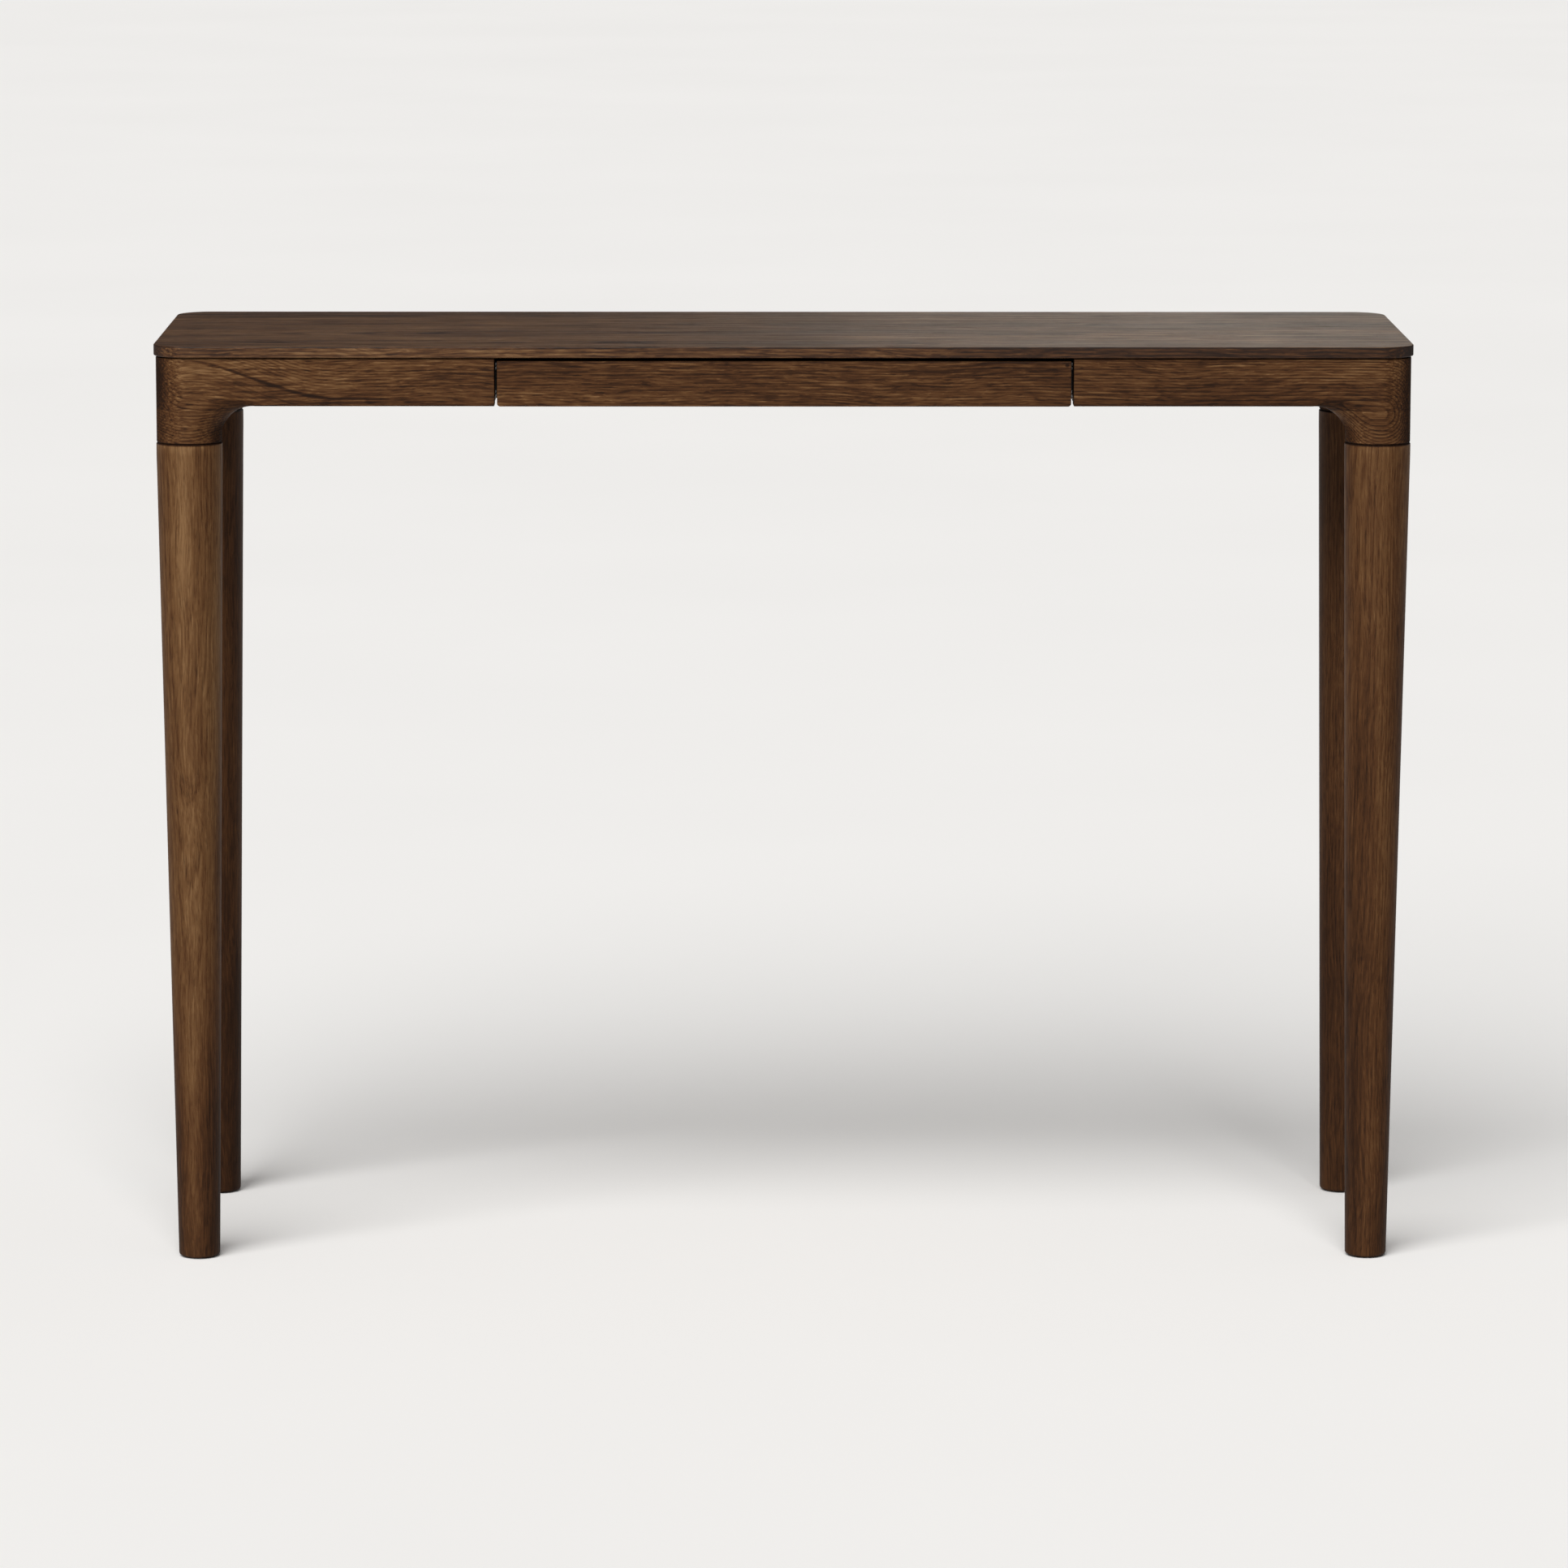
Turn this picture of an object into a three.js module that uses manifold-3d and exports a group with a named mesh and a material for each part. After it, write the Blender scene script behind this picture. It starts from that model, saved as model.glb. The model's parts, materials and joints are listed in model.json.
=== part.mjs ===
// A console table in dark stained wood: a thin top with rounded corners on a rail frame, four
// turned legs bolted under carved corner blocks, and one shallow drawer on telescopic slides.
// Units are millimetres. +Z is up, +X is to the right and -Y is the front. The origin is on the
// floor, under the middle of the top.

import * as THREE from "three";
import { mergeVertices } from "three/addons/utils/BufferGeometryUtils.js";
import Module from "manifold-3d";

const wasm = await Module();
wasm.setup();

// ---------------------------------------------------------------- driving dimensions

const width = 1200;
const depth = 355;
const height = 889;
const fit = 0.3; // clearance between two pieces that meet

const topThickness = 10.5;
const topOverhang = 0.8;
const topCornerRadius = 33;
const topEdgeRadius = 1.6;

const railFaceHeight = 46.2; // from the underside of the top to the lower edge of the rails
const railThickness = 24;
const shadowGrooveHeight = 1.3;
const shadowGrooveDepth = 3;
const glueLineDrop = 4.5; // how far the rails reach below their lower edge at the corners
const blockDrop = 37; // from the rails' lower edge to the underside of a corner block
const filletRadius = 34; // the hollow curve from a corner block up to a rail
const filletEdgeRadius = 1.5; // what is left of the block's roundness where the curve ends
const jointChamfer = 0.9; // the V-groove between a leg and its block

const legTopRadius = 31.6;
const legFootRadius = 19.9;
const legFootEdgeRadius = 3.2;
const legStraightLength = 12; // cylindrical length under the joint, before the taper

const openingWidth = 550; // between the two front rails
const bearerThickness = 18;
const bearerRecess = 2; // how far the bearers stop above the rails' lower edge

const drawerGapSide = 2.5;
const drawerGapTop = 3.3;
const drawerFrontThickness = 20;
const drawerFrontCornerRadius = 3;
const coveRadius = 10; // the finger pull along the front's lower back edge
const boxWallThickness = 12;
const boxHeight = 34;
const boxLift = 5.9; // from the rails' lower edge to the box's lower edge
const boxDepth = 283;
const panelThickness = 5;
const panelLift = 6; // from the box's lower edge to the panel's underside
const grooveDepth = 6;

const slideSpace = 12.7; // between a bearer and the drawer box
const slideLength = 250;
const slideHeight = 35;
const slideSheet = 1;
const slideLip = 0.9;
const ballTrack = 2.8; // between the flanges of two neighbouring slide members
const ballRadius = 1.1;
const cageSheet = 0.8;
const cageLength = 110;
const cageSetback = 70; // from the slide's front end to a cage's front end
const cageTie = 6; // the solid web left at each end of a cage's window
const ballsPerStrip = 4;
const slideScrewAt = [96, 224]; // from the slide's front end

const legBoltRadius = 4;
const legBoltDepth = 50;
const legBoltNeck = 4; // the waist between the wood thread and the machine thread
const insertRadius = 7;
const insertLength = 18;
const insertHoleSpare = 3; // how far the block's hole goes on above an insert
const glideRadius = 13;
const glideProud = 1; // how far a glide stands below the foot
const glideThickness = 3;
const glideNailRadius = 1.5;
const glideNailLength = 16;

const slideScrew = { headRadius: 3.4, headHeight: 1.6, shankRadius: 1.7, length: 11 };
const topScrew = { headRadius: 4.2, headHeight: 2.4, shankRadius: 2, length: 26.5 };
const frontScrew = { headRadius: 3.8, headHeight: 2, shankRadius: 1.9, length: 25 };
const topScrewBite = 6; // how far the top screws reach into the top
const bearerTopScrewY = 100; // from the middle of a bearer to each of its top screws
const frontScrewX = 150; // from the middle of the drawer to each of its front screws

const roundSegments = 40; // facets round a corner post; a quarter of them rounds a frame corner
const legSegments = 30;
const coveSegments = 24;
const smallSegments = 12;
const screwSegments = 10;

// ---------------------------------------------------------------- derived dimensions

const topUnderside = height - topThickness;
const railTop = topUnderside - fit;
const railBottom = topUnderside - railFaceHeight;
const glueLine = railBottom - glueLineDrop;
const blockBottom = railBottom - blockDrop;
const legTop = blockBottom - fit;

const frameHalfWidth = width / 2 - topOverhang;
const frameHalfDepth = depth / 2 - topOverhang;
const postRadius = topCornerRadius - topOverhang;
const legX = frameHalfWidth - postRadius;
const legY = frameHalfDepth - postRadius;
const railInnerX = frameHalfWidth - railThickness;
const railInnerY = frameHalfDepth - railThickness;

const openingHalf = openingWidth / 2;
const boxHalfWidth = openingHalf - slideSpace;
const boxBottom = railBottom + boxLift;
const boxTop = boxBottom + boxHeight;
const drawerFrontFace = -frameHalfDepth;
const boxFront = drawerFrontFace + drawerFrontThickness + fit;
const boxBack = boxFront + boxDepth;
const slideFront = -railInnerY + fit;
const slideMiddleZ = boxBottom + boxHeight / 2;

// ---------------------------------------------------------------- materials

const makeMaterial = (color, roughness, metalness) =>
  new THREE.MeshStandardMaterial({ color, roughness, metalness });

const topWood = makeMaterial(0x5f4a38, 0.42, 0);
const railWood = makeMaterial(0x54371f, 0.48, 0);
const legWood = makeMaterial(0x614630, 0.48, 0);
const boxWood = makeMaterial(0x8a6a48, 0.6, 0);
const zincSteel = makeMaterial(0xa9adb0, 0.35, 0.95);
const coatedSteel = makeMaterial(0x26272a, 0.42, 0.6);
const cagePlastic = makeMaterial(0x2c2c2e, 0.6, 0);
const brass = makeMaterial(0xb08a4a, 0.35, 0.9);
const nylon = makeMaterial(0x3a3430, 0.7, 0);

// ---------------------------------------------------------------- solids

// A closed geometry as a solid that can be cut and joined.
function toSolid(geometry) {
  const bare = new THREE.BufferGeometry();
  bare.setAttribute("position", geometry.getAttribute("position"));
  bare.setIndex(geometry.index);
  const merged = mergeVertices(bare, 1e-3);
  return new wasm.Manifold(
    new wasm.Mesh({
      numProp: 3,
      vertProperties: merged.getAttribute("position").array,
      triVerts: new Uint32Array(merged.index.array),
    }),
  );
}

// A solid as a flat-shaded geometry.
function toGeometry(solid) {
  const { vertProperties, triVerts } = solid.getMesh();
  const indexed = new THREE.BufferGeometry();
  indexed.setAttribute("position", new THREE.BufferAttribute(vertProperties, 3));
  indexed.setIndex(new THREE.BufferAttribute(triVerts, 1));
  const geometry = indexed.toNonIndexed();
  geometry.computeVertexNormals();
  return geometry;
}

const join = (solids) => solids.reduce((whole, solid) => whole.add(solid));
const cut = (solid, tools) => tools.reduce((rest, tool) => rest.subtract(tool), solid);

// A solid moved by a matrix. A mirroring matrix also turns every triangle round.
function transformed(solid, matrix) {
  const { vertProperties, triVerts } = solid.getMesh();
  const position = new THREE.BufferAttribute(vertProperties, 3).applyMatrix4(matrix);
  if (matrix.determinant() < 0) triVerts.reverse();
  return new wasm.Manifold(
    new wasm.Mesh({ numProp: 3, vertProperties: position.array, triVerts }),
  );
}

const exchangeXY = new THREE.Matrix4().set(0, 1, 0, 0, 1, 0, 0, 0, 0, 0, 1, 0, 0, 0, 0, 1);

// A box between two opposite corners.
function block(low, high) {
  const size = high.map((value, axis) => value - low[axis]);
  const geometry = new THREE.BoxGeometry(...size);
  geometry.translate(...low.map((value, axis) => value + size[axis] / 2));
  return toSolid(geometry);
}

// A cylinder that starts at a point and runs along +X, +Y or +Z.
function rod(radius, length, start, axis = "z", segments = smallSegments) {
  const geometry = new THREE.CylinderGeometry(radius, radius, length, segments);
  geometry.translate(0, length / 2, 0);
  if (axis === "z") geometry.rotateX(Math.PI / 2);
  if (axis === "x") geometry.rotateZ(-Math.PI / 2);
  geometry.translate(...start);
  return toSolid(geometry);
}

// An outline of [radius, z] points turned about the Z axis, listed from the bottom up.
function turned(outline, segments) {
  const points = outline.map(([radius, z]) => new THREE.Vector2(radius, z));
  const geometry = new THREE.LatheGeometry(points, segments);
  geometry.rotateX(Math.PI / 2);
  return toSolid(geometry);
}

// Points of a circular arc between two angles in radians, as [x, y] pairs.
function arc(centreX, centreY, radius, from, to, steps) {
  return Array.from({ length: steps + 1 }, (_, i) => {
    const angle = from + ((to - from) * i) / steps;
    return [centreX + radius * Math.cos(angle), centreY + radius * Math.sin(angle)];
  });
}

// A stack of outlines with the same number of points, skinned and capped at both ends.
// Each outline is convex and runs anticlockwise seen from above.
function lofted(outlines, levels) {
  const count = outlines[0].length;
  const positions = outlines.flatMap((outline, i) => outline.flatMap(([x, y]) => [x, y, levels[i]]));
  const indices = [];
  for (let i = 0; i < outlines.length - 1; i++) {
    for (let j = 0; j < count; j++) {
      const here = i * count + j;
      const next = i * count + ((j + 1) % count);
      indices.push(here, next, next + count, here, next + count, here + count);
    }
  }
  const last = (outlines.length - 1) * count;
  for (let j = 1; j < count - 1; j++) {
    indices.push(0, j + 1, j, last, last + j, last + j + 1);
  }
  const geometry = new THREE.BufferGeometry();
  geometry.setAttribute("position", new THREE.Float32BufferAttribute(positions, 3));
  geometry.setIndex(indices);
  return toSolid(geometry);
}

// An outline of [x, z] points extruded along +Y from y = start.
function extrudedAlongY(outline, start, length) {
  const shape = new THREE.Shape(outline.map(([x, z]) => new THREE.Vector2(x, z)));
  const geometry = new THREE.ExtrudeGeometry(shape, { depth: length, bevelEnabled: false });
  geometry.rotateX(Math.PI / 2);
  geometry.translate(0, start + length, 0);
  return toSolid(geometry);
}

// A rectangle centred on the Z axis with four round corners, extruded upwards.
function roundedPlate(halfWidth, halfDepth, radius, bottom, thickness, edgeRadius = 0) {
  const shape = new THREE.Shape();
  const x = halfWidth - radius;
  const y = halfDepth - radius;
  shape.absarc(x, y, radius, 0, Math.PI / 2);
  shape.absarc(-x, y, radius, Math.PI / 2, Math.PI);
  shape.absarc(-x, -y, radius, Math.PI, 1.5 * Math.PI);
  shape.absarc(x, -y, radius, 1.5 * Math.PI, 2 * Math.PI);
  const geometry = new THREE.ExtrudeGeometry(shape, {
    depth: thickness - 2 * edgeRadius,
    curveSegments: roundSegments / 8,
    bevelEnabled: edgeRadius > 0,
    bevelThickness: edgeRadius,
    bevelSize: edgeRadius,
    bevelOffset: -edgeRadius,
    bevelSegments: 2,
  });
  geometry.translate(0, 0, bottom + edgeRadius);
  return toSolid(geometry);
}

// ---------------------------------------------------------------- the assembly

const table = new THREE.Group();

// Adds a solid to a group as a named piece, and gives back its mesh.
function addPiece(name, solid, material, group = table) {
  const mesh = new THREE.Mesh(toGeometry(solid), material);
  mesh.name = name;
  group.add(mesh);
  return mesh;
}

const sides = [
  { name: "left", sign: -1 },
  { name: "right", sign: 1 },
];
const corners = ["front", "back"].flatMap((row) =>
  sides.map(({ name, sign }) => ({ name: `${row}_${name}`, x: sign, y: row === "front" ? -1 : 1 })),
);

// ---------------------------------------------------------------- screws

// A pan-head wood screw with its tip towards +Z. The underside of the head is at z = 0.
function screw({ headRadius, headHeight, shankRadius, length }) {
  const recessRadius = headRadius * 0.4;
  return turned(
    [
      [0, -headHeight / 2],
      [recessRadius, -headHeight],
      [headRadius * 0.75, -headHeight],
      [headRadius, -headHeight / 2],
      [headRadius, 0],
      [shankRadius, 0],
      [shankRadius, length - 2 * shankRadius],
      [0, length],
    ],
    screwSegments,
  );
}

// The hole for a screw's shank, from a point towards +X, +Y or +Z.
const shankHole = (kind, holeDepth, start, axis) =>
  rod(kind.shankRadius + 2 * fit, holeDepth, start, axis);

// The top is held by screws that sit deep in counterbores in the side rails and the bearers.
const topScrewSeat = topUnderside + topScrewBite - topScrew.length;
const sideRailMiddleX = frameHalfWidth - railThickness / 2;
const bearerMiddleX = openingHalf + bearerThickness / 2;
const topScrewPlaces = sides.flatMap(({ name, sign }) => [
  { name: `${name}_end`, x: sign * sideRailMiddleX, y: 0 },
  { name: `${name}_front`, x: sign * bearerMiddleX, y: -bearerTopScrewY },
  { name: `${name}_back`, x: sign * bearerMiddleX, y: bearerTopScrewY },
]);

// The hole for one of those screws, with its counterbore open at the bottom.
function topScrewHole({ x, y }) {
  const bore = rod(topScrew.headRadius + 2 * fit, topScrewSeat - railBottom + 1, [x, y, railBottom - 1]);
  const shank = shankHole(topScrew, topScrew.length + 1 + fit, [x, y, topScrewSeat - 1], "z");
  return join([bore, shank]);
}

for (const place of topScrewPlaces) {
  const mesh = addPiece(`top_screw_${place.name}`, screw(topScrew), zincSteel);
  mesh.position.set(place.x, place.y, topScrewSeat - fit);
}

// ---------------------------------------------------------------- the top

const top = roundedPlate(width / 2, depth / 2, topCornerRadius, topUnderside, topThickness, topEdgeRadius);
addPiece("tabletop", cut(top, topScrewPlaces.map(topScrewHole)), topWood);

// ---------------------------------------------------------------- the corners

// A corner is drawn at the front left, with the leg's axis at x = y = 0 and the table towards
// +x and +y. A round post stands on the leg. From the post a tongue grows out under each rail
// along the hollow curve, and its lower edge loses its roundness on the way up.

const filletStart = railBottom - filletRadius;
const filletSteps = 9;
const tongueArcSteps = 6;
const railInnerFace = railThickness - postRadius; // the rail's inner face, from the leg's axis

// The tongue's outline at one height, for the rail that runs along +x.
function tongueOutline(reach) {
  const roundness = postRadius + ((filletEdgeRadius - postRadius) * reach) / filletRadius;
  const centreX = postRadius + reach - roundness;
  const centreY = roundness - postRadius;
  const arcEnd = roundness > railThickness ? Math.asin((railInnerFace - centreY) / roundness) : 0;
  return [
    [0, railInnerFace],
    [0, -postRadius],
    ...arc(centreX, centreY, roundness, -Math.PI / 2, arcEnd, tongueArcSteps),
    [centreX + roundness * Math.cos(arcEnd), railInnerFace],
  ];
}

function railTongue() {
  const outlines = [];
  const levels = [];
  for (let i = 0; i <= filletSteps; i++) {
    const angle = ((i / filletSteps) * Math.PI) / 2;
    outlines.push(tongueOutline(filletRadius * (1 - Math.cos(angle))));
    levels.push(filletStart + filletRadius * Math.sin(angle));
  }
  return lofted(outlines, levels);
}

const post = turned(
  [
    [0, blockBottom],
    [postRadius - jointChamfer, blockBottom],
    [postRadius, blockBottom + jointChamfer],
    [postRadius, railTop],
    [0, railTop],
  ],
  roundSegments,
);
const tongueX = railTongue();
const tongueY = transformed(tongueX, exchangeXY);
const reachMost = postRadius + filletRadius + fit;

// The corner's share of each rail: the slice between the glue line and the rail's lower edge.
const glueSliceX = join([post, tongueX]).intersect(
  block([-postRadius - 1, -postRadius - 1, glueLine], [reachMost, railInnerFace, railBottom + 0.1]),
);
const glueSliceY = join([post, tongueY]).intersect(
  block([-postRadius - 1, railInnerFace + fit, glueLine], [railInnerFace, reachMost, railBottom + 0.1]),
);

// ---------------------------------------------------------------- corner blocks and inserts

// A block is the post with both tongues up to the glue line, and behind the rails its round
// core goes on up to the top, where it is glued into the corner of the frame.
function cornerBlock() {
  const lower = join([post, tongueX, tongueY]).intersect(
    block([-postRadius - 1, -postRadius - 1, blockBottom - 1], [reachMost, reachMost, glueLine - fit]),
  );
  const core = post.intersect(
    block([railInnerFace + fit, railInnerFace + fit, glueLine - 1], [postRadius, postRadius, railTop]),
  );
  const insertHole = rod(insertRadius + fit, insertLength + insertHoleSpare + 1, [0, 0, blockBottom - 1]);
  return cut(join([lower, core]), [insertHole]);
}

function threadedInsert() {
  const bore = legBoltRadius + fit;
  const chamfer = 1;
  return turned(
    [
      [bore, 0],
      [insertRadius - chamfer, 0],
      [insertRadius, chamfer],
      [insertRadius, insertLength],
      [bore, insertLength],
      [bore, 0],
    ],
    smallSegments,
  );
}

// ---------------------------------------------------------------- legs, leg bolts and glides

const footBottom = glideProud;
const glideRecess = glideThickness + fit;
const glideNailTop = glideThickness + glideNailLength;
const boltTop = blockBottom + insertLength;
const boltBottom = legTop - legBoltDepth;

function leg() {
  const footFlat = legFootRadius - legFootEdgeRadius;
  const boltHole = legBoltRadius + 2 * fit;
  return turned(
    [
      [0, glideNailTop + fit],
      [glideNailRadius + 2 * fit, glideNailTop + fit],
      [glideNailRadius + 2 * fit, glideRecess],
      [glideRadius + fit, glideRecess],
      [glideRadius + fit, footBottom],
      ...arc(footFlat, footBottom + legFootEdgeRadius, legFootEdgeRadius, -Math.PI / 2, 0, 3),
      [legTopRadius, legTop - legStraightLength],
      [legTopRadius, legTop - jointChamfer],
      [legTopRadius - jointChamfer, legTop],
      [boltHole, legTop],
      [boltHole, boltBottom - fit],
      [0, boltBottom - fit],
    ],
    legSegments,
  );
}

// A leg bolt's lower part is a wood screw in the leg, its upper part a machine thread in the
// insert, with a narrower neck between them.
function legBolt() {
  const neckRadius = legBoltRadius - 0.8;
  const endChamfer = 1;
  return turned(
    [
      [0, boltBottom],
      [legBoltRadius, boltBottom + 2 * legBoltRadius],
      [legBoltRadius, legTop - legBoltNeck],
      [neckRadius, legTop - legBoltNeck],
      [neckRadius, legTop],
      [legBoltRadius, legTop],
      [legBoltRadius, boltTop - endChamfer],
      [legBoltRadius - endChamfer, boltTop],
      [0, boltTop],
    ],
    smallSegments,
  );
}

// A glide is a low disc with a nail that is driven up into the foot.
function footGlide() {
  const edge = 0.8;
  return turned(
    [
      [0, 0],
      [glideRadius - edge, 0],
      [glideRadius, edge],
      [glideRadius, glideThickness],
      [glideNailRadius, glideThickness],
      [glideNailRadius, glideNailTop - 2 * glideNailRadius],
      [0, glideNailTop],
    ],
    2 * smallSegments,
  );
}

for (const corner of corners) {
  const group = new THREE.Group();
  group.position.set(corner.x * legX, corner.y * legY, 0);
  table.add(group);
  const blockMesh = addPiece(`corner_block_${corner.name}`, cornerBlock(), railWood, group);
  blockMesh.scale.set(-corner.x, -corner.y, 1);
  const insert = addPiece(`leg_insert_${corner.name}`, threadedInsert(), brass, group);
  insert.position.z = blockBottom + fit;
  addPiece(`leg_${corner.name}`, leg(), legWood, group);
  addPiece(`leg_bolt_${corner.name}`, legBolt(), zincSteel, group);
  addPiece(`foot_glide_${corner.name}`, footGlide(), nylon, group);
}

// ---------------------------------------------------------------- rails and bearers

const frameOutline = roundedPlate(
  frameHalfWidth,
  frameHalfDepth,
  postRadius,
  railBottom,
  railTop - railBottom,
);
// What the shadow groove takes from the frame, just under the top.
const grooveBottom = railTop - shadowGrooveHeight;
const grooveCore = roundedPlate(
  frameHalfWidth - shadowGrooveDepth,
  frameHalfDepth - shadowGrooveDepth,
  postRadius - shadowGrooveDepth,
  grooveBottom - 1,
  shadowGrooveHeight + 3,
);
const grooveRing = block([-width, -depth, grooveBottom], [width, depth, railTop + 1]).subtract(grooveCore);
const groovedFrame = frameOutline.subtract(grooveRing);

// The part of the frame inside a rectangle seen from above.
const frameBetween = (x0, y0, x1, y1) =>
  groovedFrame.intersect(block([x0, y0, railBottom - 1], [x1, y1, railTop + 1]));

// A solid drawn for a front left corner, mirrored and moved to another one.
function atCorner(solid, corner) {
  const matrix = new THREE.Matrix4().makeTranslation(corner.x * legX, corner.y * legY, 0);
  matrix.multiply(new THREE.Matrix4().makeScale(-corner.x, -corner.y, 1));
  return transformed(solid, matrix);
}

const slideScrewY = slideScrewAt.map((distance) => slideFront + distance);

function frontRail() {
  const board = frameBetween(-width, -depth, -openingHalf, -railInnerY);
  return join([board, atCorner(glueSliceX, { x: -1, y: -1 })]);
}

function backRail() {
  const board = frameBetween(-width, railInnerY, width, depth);
  const slices = [-1, 1].map((x) => atCorner(glueSliceX, { x, y: 1 }));
  return join([board, ...slices]);
}

function sideRail() {
  const board = frameBetween(-width, fit - railInnerY, -railInnerX, railInnerY - fit);
  const slices = [-1, 1].map((y) => atCorner(glueSliceY, { x: -1, y }));
  return cut(join([board, ...slices]), topScrewPlaces.map(topScrewHole));
}

// A bearer runs from front to back beside the drawer and carries one slide.
function bearer() {
  const board = block(
    [-openingHalf - bearerThickness, fit - railInnerY, railBottom + bearerRecess],
    [-openingHalf, railInnerY - fit, railTop],
  );
  const pilotDepth = slideScrew.length + fit;
  const pilots = slideScrewY.map((y) =>
    shankHole(slideScrew, pilotDepth, [-openingHalf - pilotDepth + 1, y, slideMiddleZ], "x"),
  );
  return cut(board, [...topScrewPlaces.map(topScrewHole), ...pilots]);
}

addPiece("back_rail", backRail(), railWood);
for (const { name, sign } of sides) {
  const pair = [
    addPiece(`front_rail_${name}`, frontRail(), railWood),
    addPiece(`side_rail_${name}`, sideRail(), railWood),
    addPiece(`drawer_bearer_${name}`, bearer(), boxWood),
  ];
  pair.forEach((mesh) => mesh.scale.setX(-sign));
}

// ---------------------------------------------------------------- drawer slides

// A slide is drawn for the left side: x = 0 is the bearer's face, +x runs towards the drawer,
// y = 0 is the slide's front end and z = 0 its middle. Three members nest in one another, with
// a ball track between their flanges, and in each track a cage holds the balls in place.

const outerHalf = slideHeight / 2;
const middleHalf = outerHalf - slideSheet - ballTrack;
const innerHalf = middleHalf - slideSheet - ballTrack;
const outerReach = 11.4;
const middleFlangeStart = 3;
const middleFlangeEnd = 10.2;
const middleWeb = 5.6;
const innerFlangeStart = 8.2;
const innerBack = slideSpace - fit;
const middleSetback = 2; // how much shorter the middle member is at each end

// The mirror image of an outline about z = 0, listed so that the two join into one outline.
const withMirror = (upper) => [...upper, ...upper.map(([x, z]) => [x, -z]).reverse()];

function outerMember() {
  const lipEdge = outerHalf - slideSheet - slideLip;
  const profile = withMirror([
    [fit + slideSheet, outerHalf - slideSheet],
    [outerReach - slideSheet, outerHalf - slideSheet],
    [outerReach - slideSheet, lipEdge],
    [outerReach, lipEdge],
    [outerReach, outerHalf],
    [fit, outerHalf],
  ]);
  return cutScrewHoles(extrudedAlongY(profile, 0, slideLength), 0);
}

function middleMember() {
  const profile = withMirror([
    [middleWeb + slideSheet, middleHalf - slideSheet],
    [middleFlangeEnd, middleHalf - slideSheet],
    [middleFlangeEnd, middleHalf],
    [middleFlangeStart, middleHalf],
    [middleFlangeStart, middleHalf - slideSheet],
    [middleWeb, middleHalf - slideSheet],
  ]);
  return extrudedAlongY(profile, middleSetback, slideLength - 2 * middleSetback);
}

function innerMember() {
  const profile = withMirror([
    [innerBack - slideSheet, innerHalf - slideSheet],
    [innerFlangeStart, innerHalf - slideSheet],
    [innerFlangeStart, innerHalf],
    [innerBack, innerHalf],
  ]);
  return cutScrewHoles(extrudedAlongY(profile, 0, slideLength), innerBack - slideSheet - 1);
}

// Cuts the fixing holes through a member's web, starting at the given x.
function cutScrewHoles(member, from) {
  const holes = slideScrewAt.map((y) => shankHole(slideScrew, slideSheet + 2, [from, y, 0], "x"));
  return cut(member, holes);
}

// A ball cage: two strips joined by a narrow web with a window, and balls that stand out of
// the strips. start is the web's x, end the strips' free edge and track the balls' height.
function ballCage({ start, end, track }) {
  const low = track - cageSheet / 2;
  const profile = withMirror([
    [start + cageSheet, low],
    [end, low],
    [end, low + cageSheet],
    [start, low + cageSheet],
  ]);
  const strips = extrudedAlongY(profile, cageSetback, cageLength);
  const window = block(
    [start - 1, cageSetback + cageTie, cageTie - low],
    [start + cageSheet + 1, cageSetback + cageLength - cageTie, low - cageTie],
  );
  const spacing = cageLength / ballsPerStrip;
  const balls = [];
  for (let i = 0; i < ballsPerStrip; i++) {
    for (const z of [-track, track]) {
      const ball = new THREE.SphereGeometry(ballRadius, 6, 4);
      ball.translate((start + cageSheet + end) / 2, cageSetback + spacing * (i + 0.5), z);
      balls.push(toSolid(ball));
    }
  }
  return join([cut(strips, [window]), ...balls]);
}

const outerCage = { start: 1.7, end: 9.6, track: outerHalf - slideSheet - ballTrack / 2 };
const innerCage = { start: 7, end: 10.8, track: middleHalf - slideSheet - ballTrack / 2 };

for (const { name, sign } of sides) {
  const group = new THREE.Group();
  group.position.set(sign * openingHalf, slideFront, slideMiddleZ);
  group.scale.setX(-sign);
  table.add(group);
  addPiece(`slide_outer_${name}`, outerMember(), coatedSteel, group);
  addPiece(`slide_middle_${name}`, middleMember(), coatedSteel, group);
  addPiece(`slide_inner_${name}`, innerMember(), coatedSteel, group);
  addPiece(`ball_cage_outer_${name}`, ballCage(outerCage), cagePlastic, group);
  addPiece(`ball_cage_inner_${name}`, ballCage(innerCage), cagePlastic, group);
  slideScrewAt.forEach((y, i) => {
    const place = i === 0 ? "front" : "back";
    const bearerScrew = addPiece(`bearer_screw_${name}_${place}`, screw(slideScrew), zincSteel, group);
    bearerScrew.position.set(2 * fit + slideSheet, y, 0);
    bearerScrew.rotation.y = -Math.PI / 2;
    const boxScrew = addPiece(`box_screw_${name}_${place}`, screw(slideScrew), zincSteel, group);
    boxScrew.position.set(innerBack - slideSheet - fit, y, 0);
    boxScrew.rotation.y = Math.PI / 2;
  });
}

// ---------------------------------------------------------------- the drawer

const frontScrewPlaces = [-frontScrewX, frontScrewX];
const wallInner = boxHalfWidth - boxWallThickness;
const panelBottom = boxBottom + panelLift;
const frontScrewSeat = boxFront + boxWallThickness + fit;

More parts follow.
